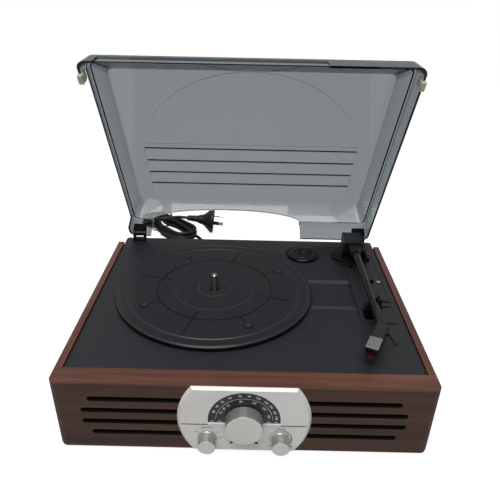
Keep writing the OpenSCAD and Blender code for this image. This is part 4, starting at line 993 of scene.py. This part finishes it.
@dataclass
class Studio:
    """Camera, floor and soft light of the picture.

    The camera's place is in millimetres. The floor and the soft box are in metres.
    """

    focal_px: float = 519.4
    picture_px: float = 500.0
    axis_px: Pair = (247.7, 270.1)
    sensor_mm: float = 36.0
    clip: Pair = (0.02, 50.0)
    eye: Point = (1.8, -347.6, 396.2)
    pitch: float = 29.44
    yaw: float = -0.217
    roll: float = 1.144
    room: float = 0.36  # light from the surroundings
    flags: Pair = (1.2, 0.25)  # its share from ahead, above and behind, and from the two sides
    flag_edges: Pair = (0.35, 0.95)  # sideways part of a direction, where a flag begins and is full
    mirrored: float = 0.12  # share of the white background that shows in reflections
    floor_paint: str = "#a8a8a8"
    floor_glow: float = 0.86  # lifts the matt floor to white for a look at it
    floor_half: float = 4.0
    box_at: Point = (-0.15, -0.75, 1.6)
    box_side: float = 1.2
    box_watts: float = 22.0
    box_aim: Point = (0.0, 0.0, 0.1)

    def camera(self) -> None:
        """Sets the camera where the picture was taken from."""
        pitch, yaw, roll = (math.radians(a) for a in (self.pitch, self.yaw, self.roll))
        ahead = Vector((math.sin(yaw) * math.cos(pitch), math.cos(yaw) * math.cos(pitch), -math.sin(pitch)))
        level = Vector((math.cos(yaw), -math.sin(yaw), 0))
        above = level.cross(ahead)
        right = level * math.cos(roll) + above * math.sin(roll)
        up = above * math.cos(roll) - level * math.sin(roll)
        lens = bpy.data.cameras.new("camera")
        lens.sensor_fit, lens.sensor_width = "HORIZONTAL", self.sensor_mm
        lens.lens = self.focal_px / self.picture_px * lens.sensor_width
        lens.shift_x = (self.picture_px / 2 - self.axis_px[0]) / self.picture_px
        lens.shift_y = (self.axis_px[1] - self.picture_px / 2) / self.picture_px
        lens.clip_start, lens.clip_end = self.clip
        camera = bpy.data.objects.new("camera", lens)
        turned = Matrix((right, up, -ahead)).transposed()
        camera.matrix_world = Matrix.Translation(place(*self.eye)) @ turned.to_4x4()
        bpy.context.scene.collection.objects.link(camera)
        bpy.context.scene.camera = camera

    def seen(self, tree: Tree) -> Socket:
        """Tells a look at the background from light that falls on the object.

        Args:
            tree: Node tree of the background.

        Returns:
            1 for a look straight or through something clear, part of it for a reflection, else 0.
        """
        path = add_node(tree, "ShaderNodeLightPath")
        mirrored = add_node(tree, "ShaderNodeMath", {
            0: path.outputs["Is Glossy Ray"], 1: self.mirrored}, operation="MULTIPLY")
        either = add_node(tree, "ShaderNodeMath", {
            0: path.outputs["Is Camera Ray"], 1: mirrored.outputs[0]}, operation="MAXIMUM")
        return add_node(tree, "ShaderNodeMath", {
            0: either.outputs[0], 1: path.outputs["Is Transmission Ray"]}, operation="MAXIMUM").outputs[0]

    def floor(self) -> None:
        """Lays a plain white floor that keeps the object's shadow."""
        shape = bmesh.new()
        bmesh.ops.create_grid(shape, x_segments=2, y_segments=2, size=self.floor_half)
        mesh = bpy.data.meshes.new("floor")
        shape.to_mesh(mesh)
        shape.free()
        paint = bpy.data.materials.new("white_floor")
        paint.use_nodes = True
        tree = paint.node_tree
        tree.nodes.clear()
        matt = add_node(tree, "ShaderNodeBsdfDiffuse", {"Color": linear(self.floor_paint)})
        lift = add_node(tree, "ShaderNodeMath", {0: self.seen(tree), 1: self.floor_glow},
                        operation="MULTIPLY")
        glow = add_node(tree, "ShaderNodeEmission", {"Strength": lift.outputs[0]})
        both = add_node(tree, "ShaderNodeAddShader", {0: matt.outputs[0], 1: glow.outputs[0]})
        add_node(tree, "ShaderNodeOutputMaterial", {"Surface": both.outputs[0]})
        mesh.materials.append(paint)
        floor = bpy.data.objects.new("floor", mesh)
        bpy.context.scene.collection.objects.link(floor)

    def soft_box(self) -> None:
        """Hangs a square soft box that faces the object."""
        light = bpy.data.lights.new("soft_box_above", "AREA")
        light.shape, light.size, light.energy = "SQUARE", self.box_side, self.box_watts
        lamp = bpy.data.objects.new("soft_box_above", light)
        lamp.location = self.box_at
        lamp.rotation_euler = (Vector(self.box_aim) - Vector(self.box_at)).to_track_quat("-Z", "Y").to_euler()
        bpy.context.scene.collection.objects.link(lamp)

    def surroundings(self) -> None:
        """Sets the white surroundings, with a dark flag on each side."""
        world = bpy.data.worlds.new("white_room")
        world.use_nodes = True
        tree = world.node_tree
        tree.nodes.clear()
        way = add_node(tree, "ShaderNodeSeparateXYZ", {
            0: add_node(tree, "ShaderNodeTexCoord").outputs["Generated"]})
        aside = add_node(tree, "ShaderNodeMath", {0: way.outputs["X"]}, operation="ABSOLUTE")
        dimmed = add_node(tree, "ShaderNodeMapRange", {
            "Value": aside.outputs[0], "From Min": self.flag_edges[0], "From Max": self.flag_edges[1],
            "To Min": self.room * self.flags[0], "To Max": self.room * self.flags[1]})
        strength = add_node(tree, "ShaderNodeMapRange", {
            "Value": self.seen(tree), "To Min": dimmed.outputs[0], "To Max": 1.0})
        white = add_node(tree, "ShaderNodeBackground", {
            "Color": (1.0, 1.0, 1.0, 1.0), "Strength": strength.outputs[0]})
        add_node(tree, "ShaderNodeOutputWorld", {"Surface": white.outputs[0]})
        bpy.context.scene.world = world
        bpy.context.scene.view_settings.view_transform = "Standard"

    def build(self) -> None:
        """Makes the camera, the floor and the light."""
        self.camera()
        self.floor()
        self.soft_box()
        self.surroundings()
        LOG.info("studio ready")


# ---- Mains lead ----


@dataclass
class MainsLead:
    """Mains lead: from its sleeve down to the table, wound into a hank and on to its plug."""

    radius: float = 2.5
    lie: float = 2.4  # height of the centre line on the table
    start: tuple[Point, ...] = (
        (-45, 320, 22), (-45, 325, 22), (-45.1, 333, 20.9), (-45.4, 340.5, 17.8), (-46, 347.2, 12.2),
        (-47, 354, 6.6), (-48.6, 361.5, 3.4), (-50.8, 370, 2.4), (-54, 382, 2.4), (-57.6, 394, 2.4),
        (-61.6, 406, 2.4), (-65.9, 418, 2.4), (-70.6, 430, 2.4), (-76, 442, 2.4), (-82.2, 453.2, 2.4),
        (-89, 463.4, 2.4))
    end: tuple[Point, ...] = (
        (-154.5, 480.6, 28.2), (-148.5, 479.8, 28.7), (-142.7, 480.7, 29), (-132.3, 484.5, 29),
        (-123, 487.9, 28.4), (-115.2, 489.5, 27.2), (-109.2, 489.5, 26.6))
    middle: Pair = (-140, 485)
    turn: float = -45.0
    run_length: float = 75.0
    runs: int = 12
    last_share: float = 0.273  # of the last run, after which the lead leaves the hank
    least_turn: float = 15.0  # from the hank's middle line to its innermost run
    step: float = 6.2  # from a run to the next one outside it
    layer_height: float = 5.6
    layer_runs: int = 3
    waist_at: float = -22.0
    waist_in: float = 8.0
    waist_length: float = 27.0
    waist_lift: float = 1.7
    run_steps: int = 6
    last_steps: int = 3
    sides: int = 16
    band_turns: int = 3
    band_pitch: float = 1.55
    band_sway: float = 0.5
    band_twist: float = 2.1  # how far the sway of one turn is ahead of the last one's, in radians
    band_half: Pair = (0.85, 0.55)
    band_sides: int = 10
    band_room: float = 1.5
    band_low: float = 0.1
    band_high: float = 1.1
    corner_before: Pair = (0.18, 0.08)  # shares of a side, at which points round off the band's corner
    corner_after: Point = (0.08, 0.18, 0.5)

    def offset(self, run: int) -> float:
        """Returns how far a run lies from the hank's middle line."""
        return self.least_turn + self.step / 2 * abs(run % (2 * self.layer_runs) - self.layer_runs)

    def layer(self, run: int, share: float) -> float:
        """Finds the layer along a run, which climbs where the spiral turns back.

        Args:
            run: Number of the run, from 1.
            share: Share of the run that is passed.

        Returns:
            The layer, from 0 on the table.
        """
        full = run // self.layer_runs
        if run % self.layer_runs:
            return full
        return full - 1 + (share / self.last_share if run == self.runs else share)

    def waist(self, x: float) -> float:
        """Returns how much the tie draws the hank in at x, from 0 to 1."""
        near = abs(x - self.waist_at) < self.waist_length
        return (1 + math.cos(math.pi * (x - self.waist_at) / self.waist_length)) / 2 if near else 0.0

    def in_hank(self, x: float, y: float, z: float) -> Vector:
        """Turns a point of the hank's own axes into the part's frame."""
        c, s = math.cos(math.radians(self.turn)), math.sin(math.radians(self.turn))
        return place(self.middle[0] + x * c - y * s, self.middle[1] + x * s + y * c, z)

    def hank_point(self, x: float, y: float, layer: float) -> Vector:
        """Places a point of the winding, drawn in at its waist.

        Args:
            x: Millimetres along the hank.
            y: Millimetres across it.
            layer: Layer that the point lies in.

        Returns:
            The point in the part's frame.
        """
        drawn = self.waist(x)
        height = self.lie + self.waist_lift * drawn + layer * self.layer_height
        return self.in_hank(x, y - math.copysign(self.waist_in, y) * drawn, height)

    def hank(self) -> list[Vector]:
        """Winds the hank: straight runs joined by half turns, in layers.

        Returns:
            The points of its centre line.
        """
        points = []
        for run in range(1, self.runs + 1):
            way = 1 if run % 2 == 0 else -1
            last = run == self.runs
            share, steps = (self.last_share, self.last_steps) if last else (1.0, self.run_steps)
            for k in range(steps + 1):
                at = share * k / steps
                points.append(self.hank_point(way * self.run_length * (at - 0.5), -way * self.offset(run),
                                              self.layer(run, at)))
            if last:
                break
            mid = way * (self.offset(run + 1) - self.offset(run)) / 2
            r = (self.offset(run) + self.offset(run + 1)) / 2
            points += [self.hank_point(way * (self.run_length / 2 + r * math.sin(math.radians(a))),
                                       mid - way * r * math.cos(math.radians(a)), self.layer(run, 1))
                       for a in range(30, 151, 30)]
        return points

    def path(self) -> list[Vector]:
        """Joins the lead's start, its hank and its end.

        Returns:
            The points of its whole centre line.
        """
        hank = self.hank()
        into, out = (hank[1] - hank[0]).normalized(), (hank[-1] - hank[-2]).normalized()
        route = [place(*p) for p in self.start] + [hank[0] - into * (2 * self.radius * MM)]
        route += hank + [hank[-1] + out * (self.radius * MM)]
        return smooth_path(route + [place(*p) for p in self.end])

    def tie(self) -> bpy.types.Object:
        """Makes the rubber band that holds the hank: turns that cross a little.

        Returns:
            The band.
        """
        half = (self.least_turn + self.step * self.layer_runs / 2 + self.radius - self.waist_in
                + self.band_room)
        low = self.lie + self.waist_lift - self.radius + self.band_low
        layers = self.runs // self.layer_runs - 1
        top = low + layers * self.layer_height + 2 * self.radius + self.band_high
        above = top + self.layer_height
        corners = [(-half, low), (half, low), (half, top), (-half / 2, above), (-half, above)]
        ring = []
        for i, (y, z) in enumerate(corners):
            back, ahead = corners[i - 1], corners[(i + 1) % len(corners)]
            for share in self.corner_before:
                ring.append((y + (back[0] - y) * share, z + (back[1] - z) * share))
            for share in self.corner_after:
                ring.append((y + (ahead[0] - y) * share, z + (ahead[1] - z) * share))
        wide, thick = self.band_half
        section = [(thick * v, wide * u) for u, v in round_section(MM, self.band_sides)]
        shape = Shape()
        for turn in range(self.band_turns):
            path = []
            for k, (y, z) in enumerate(ring):
                sway = self.band_sway * math.sin(math.tau * k / len(ring) + self.band_twist * turn)
                path.append(self.in_hank(self.waist_at + (turn - 1) * self.band_pitch + sway, y, z))
            shape.sweep(path, section, closed=True)
        made = shape.piece("rubber_band", TAN_RUBBER, "tan_rubber", Body.CABINET)
        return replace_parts(made, "cord_tie")

    def build(self, plug: bpy.types.Object) -> None:
        """Args:
            plug: Plug on the lead's far end. Not used.
        """
        path = self.path()
        shape = Shape()
        shape.sweep(path, round_section(self.radius * MM, self.sides))
        lead = shape.piece("mains_lead", BLACK_VINYL, "black_rubber", Body.CABINET, sharp=70)
        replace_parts(lead, "mains_cord", "cord_hank", "plug_lead")
        self.tie()


@dataclass
class MainsPlug:
    """Moulded plug: a ribbed neck that flares to a round face with two flat pins set at an angle."""

    at: Point = (-109.2, 489.5, 26.6)
    tilt: float = 5.7
    roll: float = 36.0
    profile: tuple[Pair, ...] = (
        (0, 0), (0, 3.4), (0.5, 3.9), (16, 5.4), (18, 5.7), (21, 7.4), (23.5, 8.0), (26, 8.4), (29, 9.7),
        (31, 11), (34, 13.6), (36.5, 16), (40, 19.4), (42, 20.9), (43, 21.4), (44.8, 21.5), (46, 21.1),
        (46.5, 20.3), (46.5, 0))
    ribs: int = 5
    rib_at: Pair = (1.5, 3.3)  # the first one and the step to the next
    rib_radius: Pair = (5.3, 0.2)  # the first one and its growth
    rib_width: float = 1.7
    rib_edge: Pair = (0.4, 0.5)
    face: float = 46.5
    sleeve: float = 9.5
    sleeve_root: float = 0.5
    sleeve_bevel: float = 0.3
    pin: Point = (17.0, 1.6, 6.4)
    pin_off: float = 7.1
    pin_angles: tuple[int, int] = (30, 150)
    pin_fit: float = 0.08
    pin_root: float = 1.0
    pin_bevel: float = 0.6

    def build(self) -> bpy.types.Object:
        """Makes the plug, its pins and their sleeves.

        Returns:
            The plug's body, which the pins and sleeves hang on.
        """
        turn = Matrix.Translation(place(*self.at)) @ Matrix.Rotation(math.radians(self.tilt), 4, "Y")
        body = Shape()
        body.lathe(self.profile, turn)
        along, drop = self.rib_edge
        for i in range(self.ribs):
            x, r = self.rib_at[0] + i * self.rib_at[1], self.rib_radius[0] + i * self.rib_radius[1]
            end = x + self.rib_width
            body.lathe(((x, 0), (x, r - drop), (x + along, r), (end - along, r), (end, r - drop),
                        (end, 0)), turn)
        plug = body.piece("plug_body", BLACK_VINYL, "black_rubber", Body.CABINET, sharp=35)
        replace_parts(plug, "mains_plug")
        sleeves, pins = Shape(), Shape()
        length, thick, width = self.pin
        half, near, far, fit = width / 2, self.pin_off, self.pin_off + thick, self.pin_fit
        tip = self.face + self.sleeve
        for angle in self.pin_angles:
            aim = turn @ Matrix.Rotation(math.radians(angle + self.roll), 4, "X")
            sleeves.block((self.face - self.sleeve_root, near, -half), (tip, far, half), aim,
                          self.sleeve_bevel)
            pins.block((tip - self.pin_root, near + fit, -half + fit),
                       (self.face + length, far - fit, half - fit), aim, self.pin_bevel)
        for shape, name, finish, slot in ((sleeves, "plug_sleeves", BLACK_VINYL, "black_rubber"),
                                          (pins, "plug_pins", NICKEL, "bright_metal")):
            made = shape.piece(name, finish, slot, Body.CABINET)
            made.parent = plug
        return plug


# ---- Cabinet ----


@dataclass
class Cabinet:
    """Wooden cabinet, its loudspeakers and the black back."""

    cloth_low: Pair = (56.0, 14.5)
    cloth_high: Pair = (151.5, 72.5)
    cloth_y: float = 21.3
    cloth_half: float = 0.22
    cells: tuple[int, int] = (24, 14)

    def cloth(self, side: int) -> Shape:
        """Makes a thin closed sheet with a grid of faces front and back.

        Args:
            side: -1 for the left one, 1 for the right one.

        Returns:
            The sheet.
        """
        columns, rows = self.cells
        (left, low), (right, high) = self.cloth_low, self.cloth_high
        points = [place(side * (left + (right - left) * i / columns), self.cloth_y + out,
                        low + (high - low) * k / rows)
                  for out in (-self.cloth_half, self.cloth_half)
                  for i in range(columns + 1) for k in range(rows + 1)]
        layer = (columns + 1) * (rows + 1)
        faces = []
        for i in range(columns):
            for k in range(rows):
                a = i * (rows + 1) + k
                faces += [(a, a + rows + 1, a + rows + 2, a + 1)]
                faces += [tuple(layer + n for n in (a + 1, a + rows + 2, a + rows + 1, a))]
        rim = [i * (rows + 1) for i in range(columns + 1)]
        rim += [columns * (rows + 1) + k for k in range(1, rows + 1)]
        rim += [i * (rows + 1) + rows for i in range(columns - 1, -1, -1)]
        rim += list(range(rows - 1, 0, -1))
        faces += [(a, b, layer + b, layer + a) for a, b in zip(rim, rim[1:] + rim[:1])]
        shape = Shape()
        shape.add(points, faces)
        return shape

    def cloths(self) -> None:
        """Stretches a woven cloth behind each set of sound slots."""
        for side, name in ((-1, "cloth_left"), (1, "cloth_right")):
            made = self.cloth(side).piece(name, CLOTH, "cloth", Body.CABINET)
            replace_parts(made, "grille_cloth")

    def build(self) -> None:
        """Makes the cloths and dresses the cabinet."""
        self.cloths()
        dress_nodes({
            "front_panel": WALNUT_FRONT, "side_wall_left": WALNUT_SIDE, "side_wall_right": WALNUT_SIDE,
            "bottom_panel": WALNUT_SIDE, "back_cover": BLACK_ABS, "feet": BLACK_RUBBER,
            "corner_blocks": PINE, "case_screws": STEEL, "speaker_frames": BLACK_ABS,
            "speaker_cones": PAPER, "speaker_magnets": STEEL, "transformer": IRON, "main_board": BOARD,
            "strain_relief": BLACK_VINYL})


# ---- Radio ----


@dataclass
class Radio:
    """Silver plate with its dial, printing, lights and knobs."""

    dial_z: float = 44.0
    dial_face: float = -2.5
    plate_face: float = -3.0
    knob_x: float = 34.0
    knob_z: float = 21.7
    groove: Point = (33.3, 57.5, 38.3)  # from, to and its height above the table
    groove_floor: float = -2.9
    groove_width: float = 1.1
    groove_room: float = 0.1
    arc_radius: float = 26.2
    arc_width: float = 0.3
    scales: tuple[Pair, Pair] = ((29.4, 2.3), (22.9, 2.1))  # radius and height of the numbers
    units: tuple[Label, ...] = ((-29.4, "FM"), (29.4, "MHz"), (-22.4, "AM"), (22.4, "kHz"))
    units_down: float = 1.7
    units_height: float = 1.4
    title_up: float = 12.6
    title_height: float = 1.5
    stops: tuple[Label, ...] = ((35, "FM"), (0, "AM"), (145, "PH"))
    stop_radius: float = 12.6
    stop_height: float = 1.2
    tick_radius: float = 10.2
    tick: Pair = (1.0, 0.35)
    wedge_radius: float = 11.0  # the volume mark, which narrows as it turns
    wedge_turn: Pair = (-50, 215)
    wedge_width: Pair = (1.0, 0.15)
    ends: tuple[Label, ...] = ((-9.6, "OFF"), (9.6, "MAX"))
    ends_down: float = 9.2
    outer: tuple[Label, ...] = (
        (160, "88"), (146, "90"), (132, "92"), (116, "94"), (98, "96"), (82, "98"), (66, "100"), (49, "102"),
        (36, "104"), (21, "106"), (7, "108"))
    inner: tuple[Label, ...] = (
        (157, "55"), (143, "60"), (129, "65"), (98, "80"), (68, "100"), (40, "130"), (14, "160"))

    def dial(self) -> None:
        """Prints the two scales of the dial, the thin arc between them and their units."""
        ink = Print(place(0, self.dial_face, self.dial_z), RIGHT, UP)
        ink.arc(0, 0, self.arc_radius, 2, 178, (self.arc_width, self.arc_width))
        for (radius, height), scale in zip(self.scales, (self.outer, self.inner)):
            for angle, words in scale:
                a = math.radians(angle)
                ink.text(words, radius * math.cos(a), radius * math.sin(a), height, angle - 90)
        for x, words in self.units:
            ink.text(words, x, -self.units_down, self.units_height)
        ink.shape.piece("dial_print", WHITE_INK, "dial_film", Body.CABINET)

    def labels(self) -> None:
        """Prints the small plain words and marks round the lower knobs."""
        ink = Print(place(0, self.plate_face, 0), RIGHT, UP)
        for x, words in ((-self.knob_x, "FUNCTION"), (self.knob_x, "VOLUME")):
            ink.text(words, x, self.knob_z + self.title_up, self.title_height)
        for angle, words in self.stops:
            c, s = math.cos(math.radians(angle)), math.sin(math.radians(angle))
            ink.text(words, -self.knob_x + self.stop_radius * c, self.knob_z + self.stop_radius * s,
                     self.stop_height)
            ink.bar(-self.knob_x + self.tick_radius * c, self.knob_z + self.tick_radius * s,
                    *self.tick, angle)
        ink.arc(self.knob_x, self.knob_z, self.wedge_radius, *self.wedge_turn, self.wedge_width)
        for x, words in self.ends:
            ink.text(words, self.knob_x + x, self.knob_z - self.ends_down, self.stop_height)
        ink.shape.piece("plate_print", DARK_INK_AND_SHADE, "dial_film", Body.CABINET)

    def line(self) -> None:
        """Fills the groove across the plate with painted shade: dark bars on its floor."""
        start, end, height = self.groove
        # painted shade: dark ink bars standing in for the groove's shadow
        ink = Print(place(0, self.groove_floor, height), RIGHT, UP)
        for side in (-1, 1):
            ink.bar(side * (start + end) / 2, 0, end - start - self.groove_room, self.groove_width)
        ink.shape.piece("plate_groove_shade", DARK_INK_AND_SHADE, "dial_film", Body.CABINET)

    def build(self) -> None:
        """Prints the dial and dresses the radio."""
        self.dial()
        self.labels()
        self.line()
        dress_nodes({
            "radio_plate": SILVER_PLATE, "dial_scale": DIAL_FILM, "indicator_lights": LAMP_RED,
            "tuner_board": BOARD, "tuning_capacitor": NYLON, "volume_control": STEEL, "band_switch": STEEL,
            "tuning_knob": SILVER_KNOB, "volume_knob": SILVER_KNOB, "band_knob": SILVER_KNOB})


# ---- Record deck ----


@dataclass
class RecordDeck:
    """Deck moulding, platter with its drive, and the marks beside the switches."""

    strip_top: float = 81.2
    speed_at: Pair = (156.4, 189.0)
    speed_step: float = 4.2
    speed_height: float = 3.2
    speed_bold: float = 0.14
    belt_radii: Pair = (70.5, 6.0)
    belt_reach: float = 88.0
    belt_aim: float = 135.0
    belt_z: float = 77.1
    belt_steps: tuple[int, int] = (72, 16)
    belt_half: Pair = (0.36, 2.08)
    belt_edge: Pair = (0.16, 0.18)

    def belt(self) -> None:
        """Makes the flat rubber belt that runs from the platter's rim to the motor pulley."""
        (big, small), aim = self.belt_radii, math.radians(self.belt_aim)
        lean = math.acos((big - small) / self.belt_reach)
        x, y = SPINDLE_AT
        motor = (x + self.belt_reach * math.cos(aim), y + self.belt_reach * math.sin(aim))
        path = []
        for centre, radius, first, last, steps in (
                (SPINDLE_AT, big, aim + lean, aim + math.tau - lean, self.belt_steps[0]),
                (motor, small, aim - lean, aim + lean, self.belt_steps[1])):
            for k in range(steps + 1):
                a = first + (last - first) * k / steps
                path.append(place(centre[0] + radius * math.cos(a), centre[1] + radius * math.sin(a),
                                  self.belt_z))
        wide, high = self.belt_half
        flat, side = wide - self.belt_edge[0], high - self.belt_edge[1]
        half = [(-wide, -side), (-flat, -high), (flat, -high), (wide, -side)]
        section = [(u * MM, v * MM) for u, v in half + [(-u, -v) for u, v in half]]
        shape = Shape()
        shape.sweep(path, section, closed=True)
        made = shape.piece("flat_belt", BLACK_RUBBER, "black_rubber", Body.CABINET)
        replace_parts(made, "drive_belt")

    def marks(self) -> None:
        """Prints the speeds beside their switch."""
        x, y = self.speed_at
        for name, finish, rows in (("speed_print_white", WHITE_INK, (("33", 0),)),
                                   ("speed_print_dark", DARK_INK_AND_SHADE, (("45", 1), ("78", 2)))):
            ink = Print(place(x, y, self.strip_top), RIGHT, BACK)
            for words, row in rows:
                ink.text(words, 0, -row * self.speed_step, self.speed_height, bold=self.speed_bold)
            ink.shape.piece(name, finish, "dial_film", Body.CABINET)

    def build(self) -> None:
        """Makes the belt and the marks and dresses the deck."""
        self.belt()
        self.marks()
        dress_nodes({
            "deck": DECK_ABS, "spindle": NICKEL, "spindle_clip": BLACK_ABS, "platter": PLATTER_ABS,
            "motor": STEEL, "motor_pulley": BRASS, "record_adapter": BLACK_ABS, "speed_knob": BLACK_ABS,
            "auto_stop_knob": BLACK_ABS, "cue_lever": BLACK_ABS, "cue_lift_bar": BLACK_ABS})


@dataclass
class Tonearm:
    """Tonearm with its base, rest and pickup."""

    elbow: Point = (134.3, 73.1, 98.0)
    head_angle: float = 25.5
    cap_low: Point = (-6.1, -43.7, 2.6)
    cap_high: Point = (6.1, -24.6, 3.55)
    cap_bevel: float = 0.35
    marks_at: float = -35.0
    marks: tuple[Point, ...] = ((-3.4, -4.0, 1.2), (0.2, -1.2, 1.6), (2.8, -4.6, 1.0), (-1.6, 3.4, 1.4))
    mark_width: float = 0.8
    mark_turn: float = 20.0

    def cap(self) -> None:
        """Makes the pale cap on the pickup and the plain marks on it."""
        turn = Matrix.Translation(place(*self.elbow))
        turn @= Matrix.Rotation(math.radians(-self.head_angle), 4, "Z")
        shape = Shape()
        shape.block(self.cap_low, self.cap_high, turn, self.cap_bevel)
        shape.piece("pickup_cap", GREY_ABS, "grey_plastic", Body.TONEARM)
        top = turn @ (Vector((0, self.marks_at, self.cap_high[2])) * MM)
        aim = turn.to_3x3()
        ink = Print(top, aim @ RIGHT, aim @ BACK)
        for x, y, width in self.marks:
            ink.bar(x, y, width, self.mark_width, self.mark_turn)
        ink.shape.piece("pickup_print", DARK_INK_AND_SHADE, "dial_film", Body.TONEARM)

    def build(self) -> None:
        """Makes the cap and dresses the tonearm."""
        self.cap()
        dress_nodes({
            "arm_base": BLACK_ABS, "arm_turret": BLACK_ABS, "arm_pivot_pin": STEEL, "arm_housing": LINED_ABS,
            "counterweight": STEEL, "arm_tube": ARM_ABS, "arm_elbow": ARM_ABS, "headshell": ARM_ABS,
            "cartridge": BLACK_ABS, "stylus_holder": RED_PLASTIC, "finger_lift": BLACK_ABS,
            "arm_rest": BLACK_ABS, "arm_clip": BLACK_ABS})


@dataclass
class Lid:
    """Smoked lid with its bumpers and hinges."""

    def build(self) -> None:
        """Dresses the lid."""
        dress_nodes({
            "lid": SMOKE, "lid_bumpers": FROST_VINYL, "hinge_brackets": BLACK_ABS, "hinge_pins": STEEL,
            "hinge_leaves": BLACK_ABS})


def main() -> None:
    """Builds the studio and every sub-assembly, and logs what it makes."""
    logging.basicConfig(level=logging.INFO, format="%(name)s: %(message)s")
    Studio().build()
    MainsLead().build(MainsPlug().build())
    for part in (Cabinet(), Radio(), RecordDeck(), Tonearm(), Lid()):
        part.build()
        LOG.info("%s done", type(part).__name__)


if __name__ == "__main__":
    main()
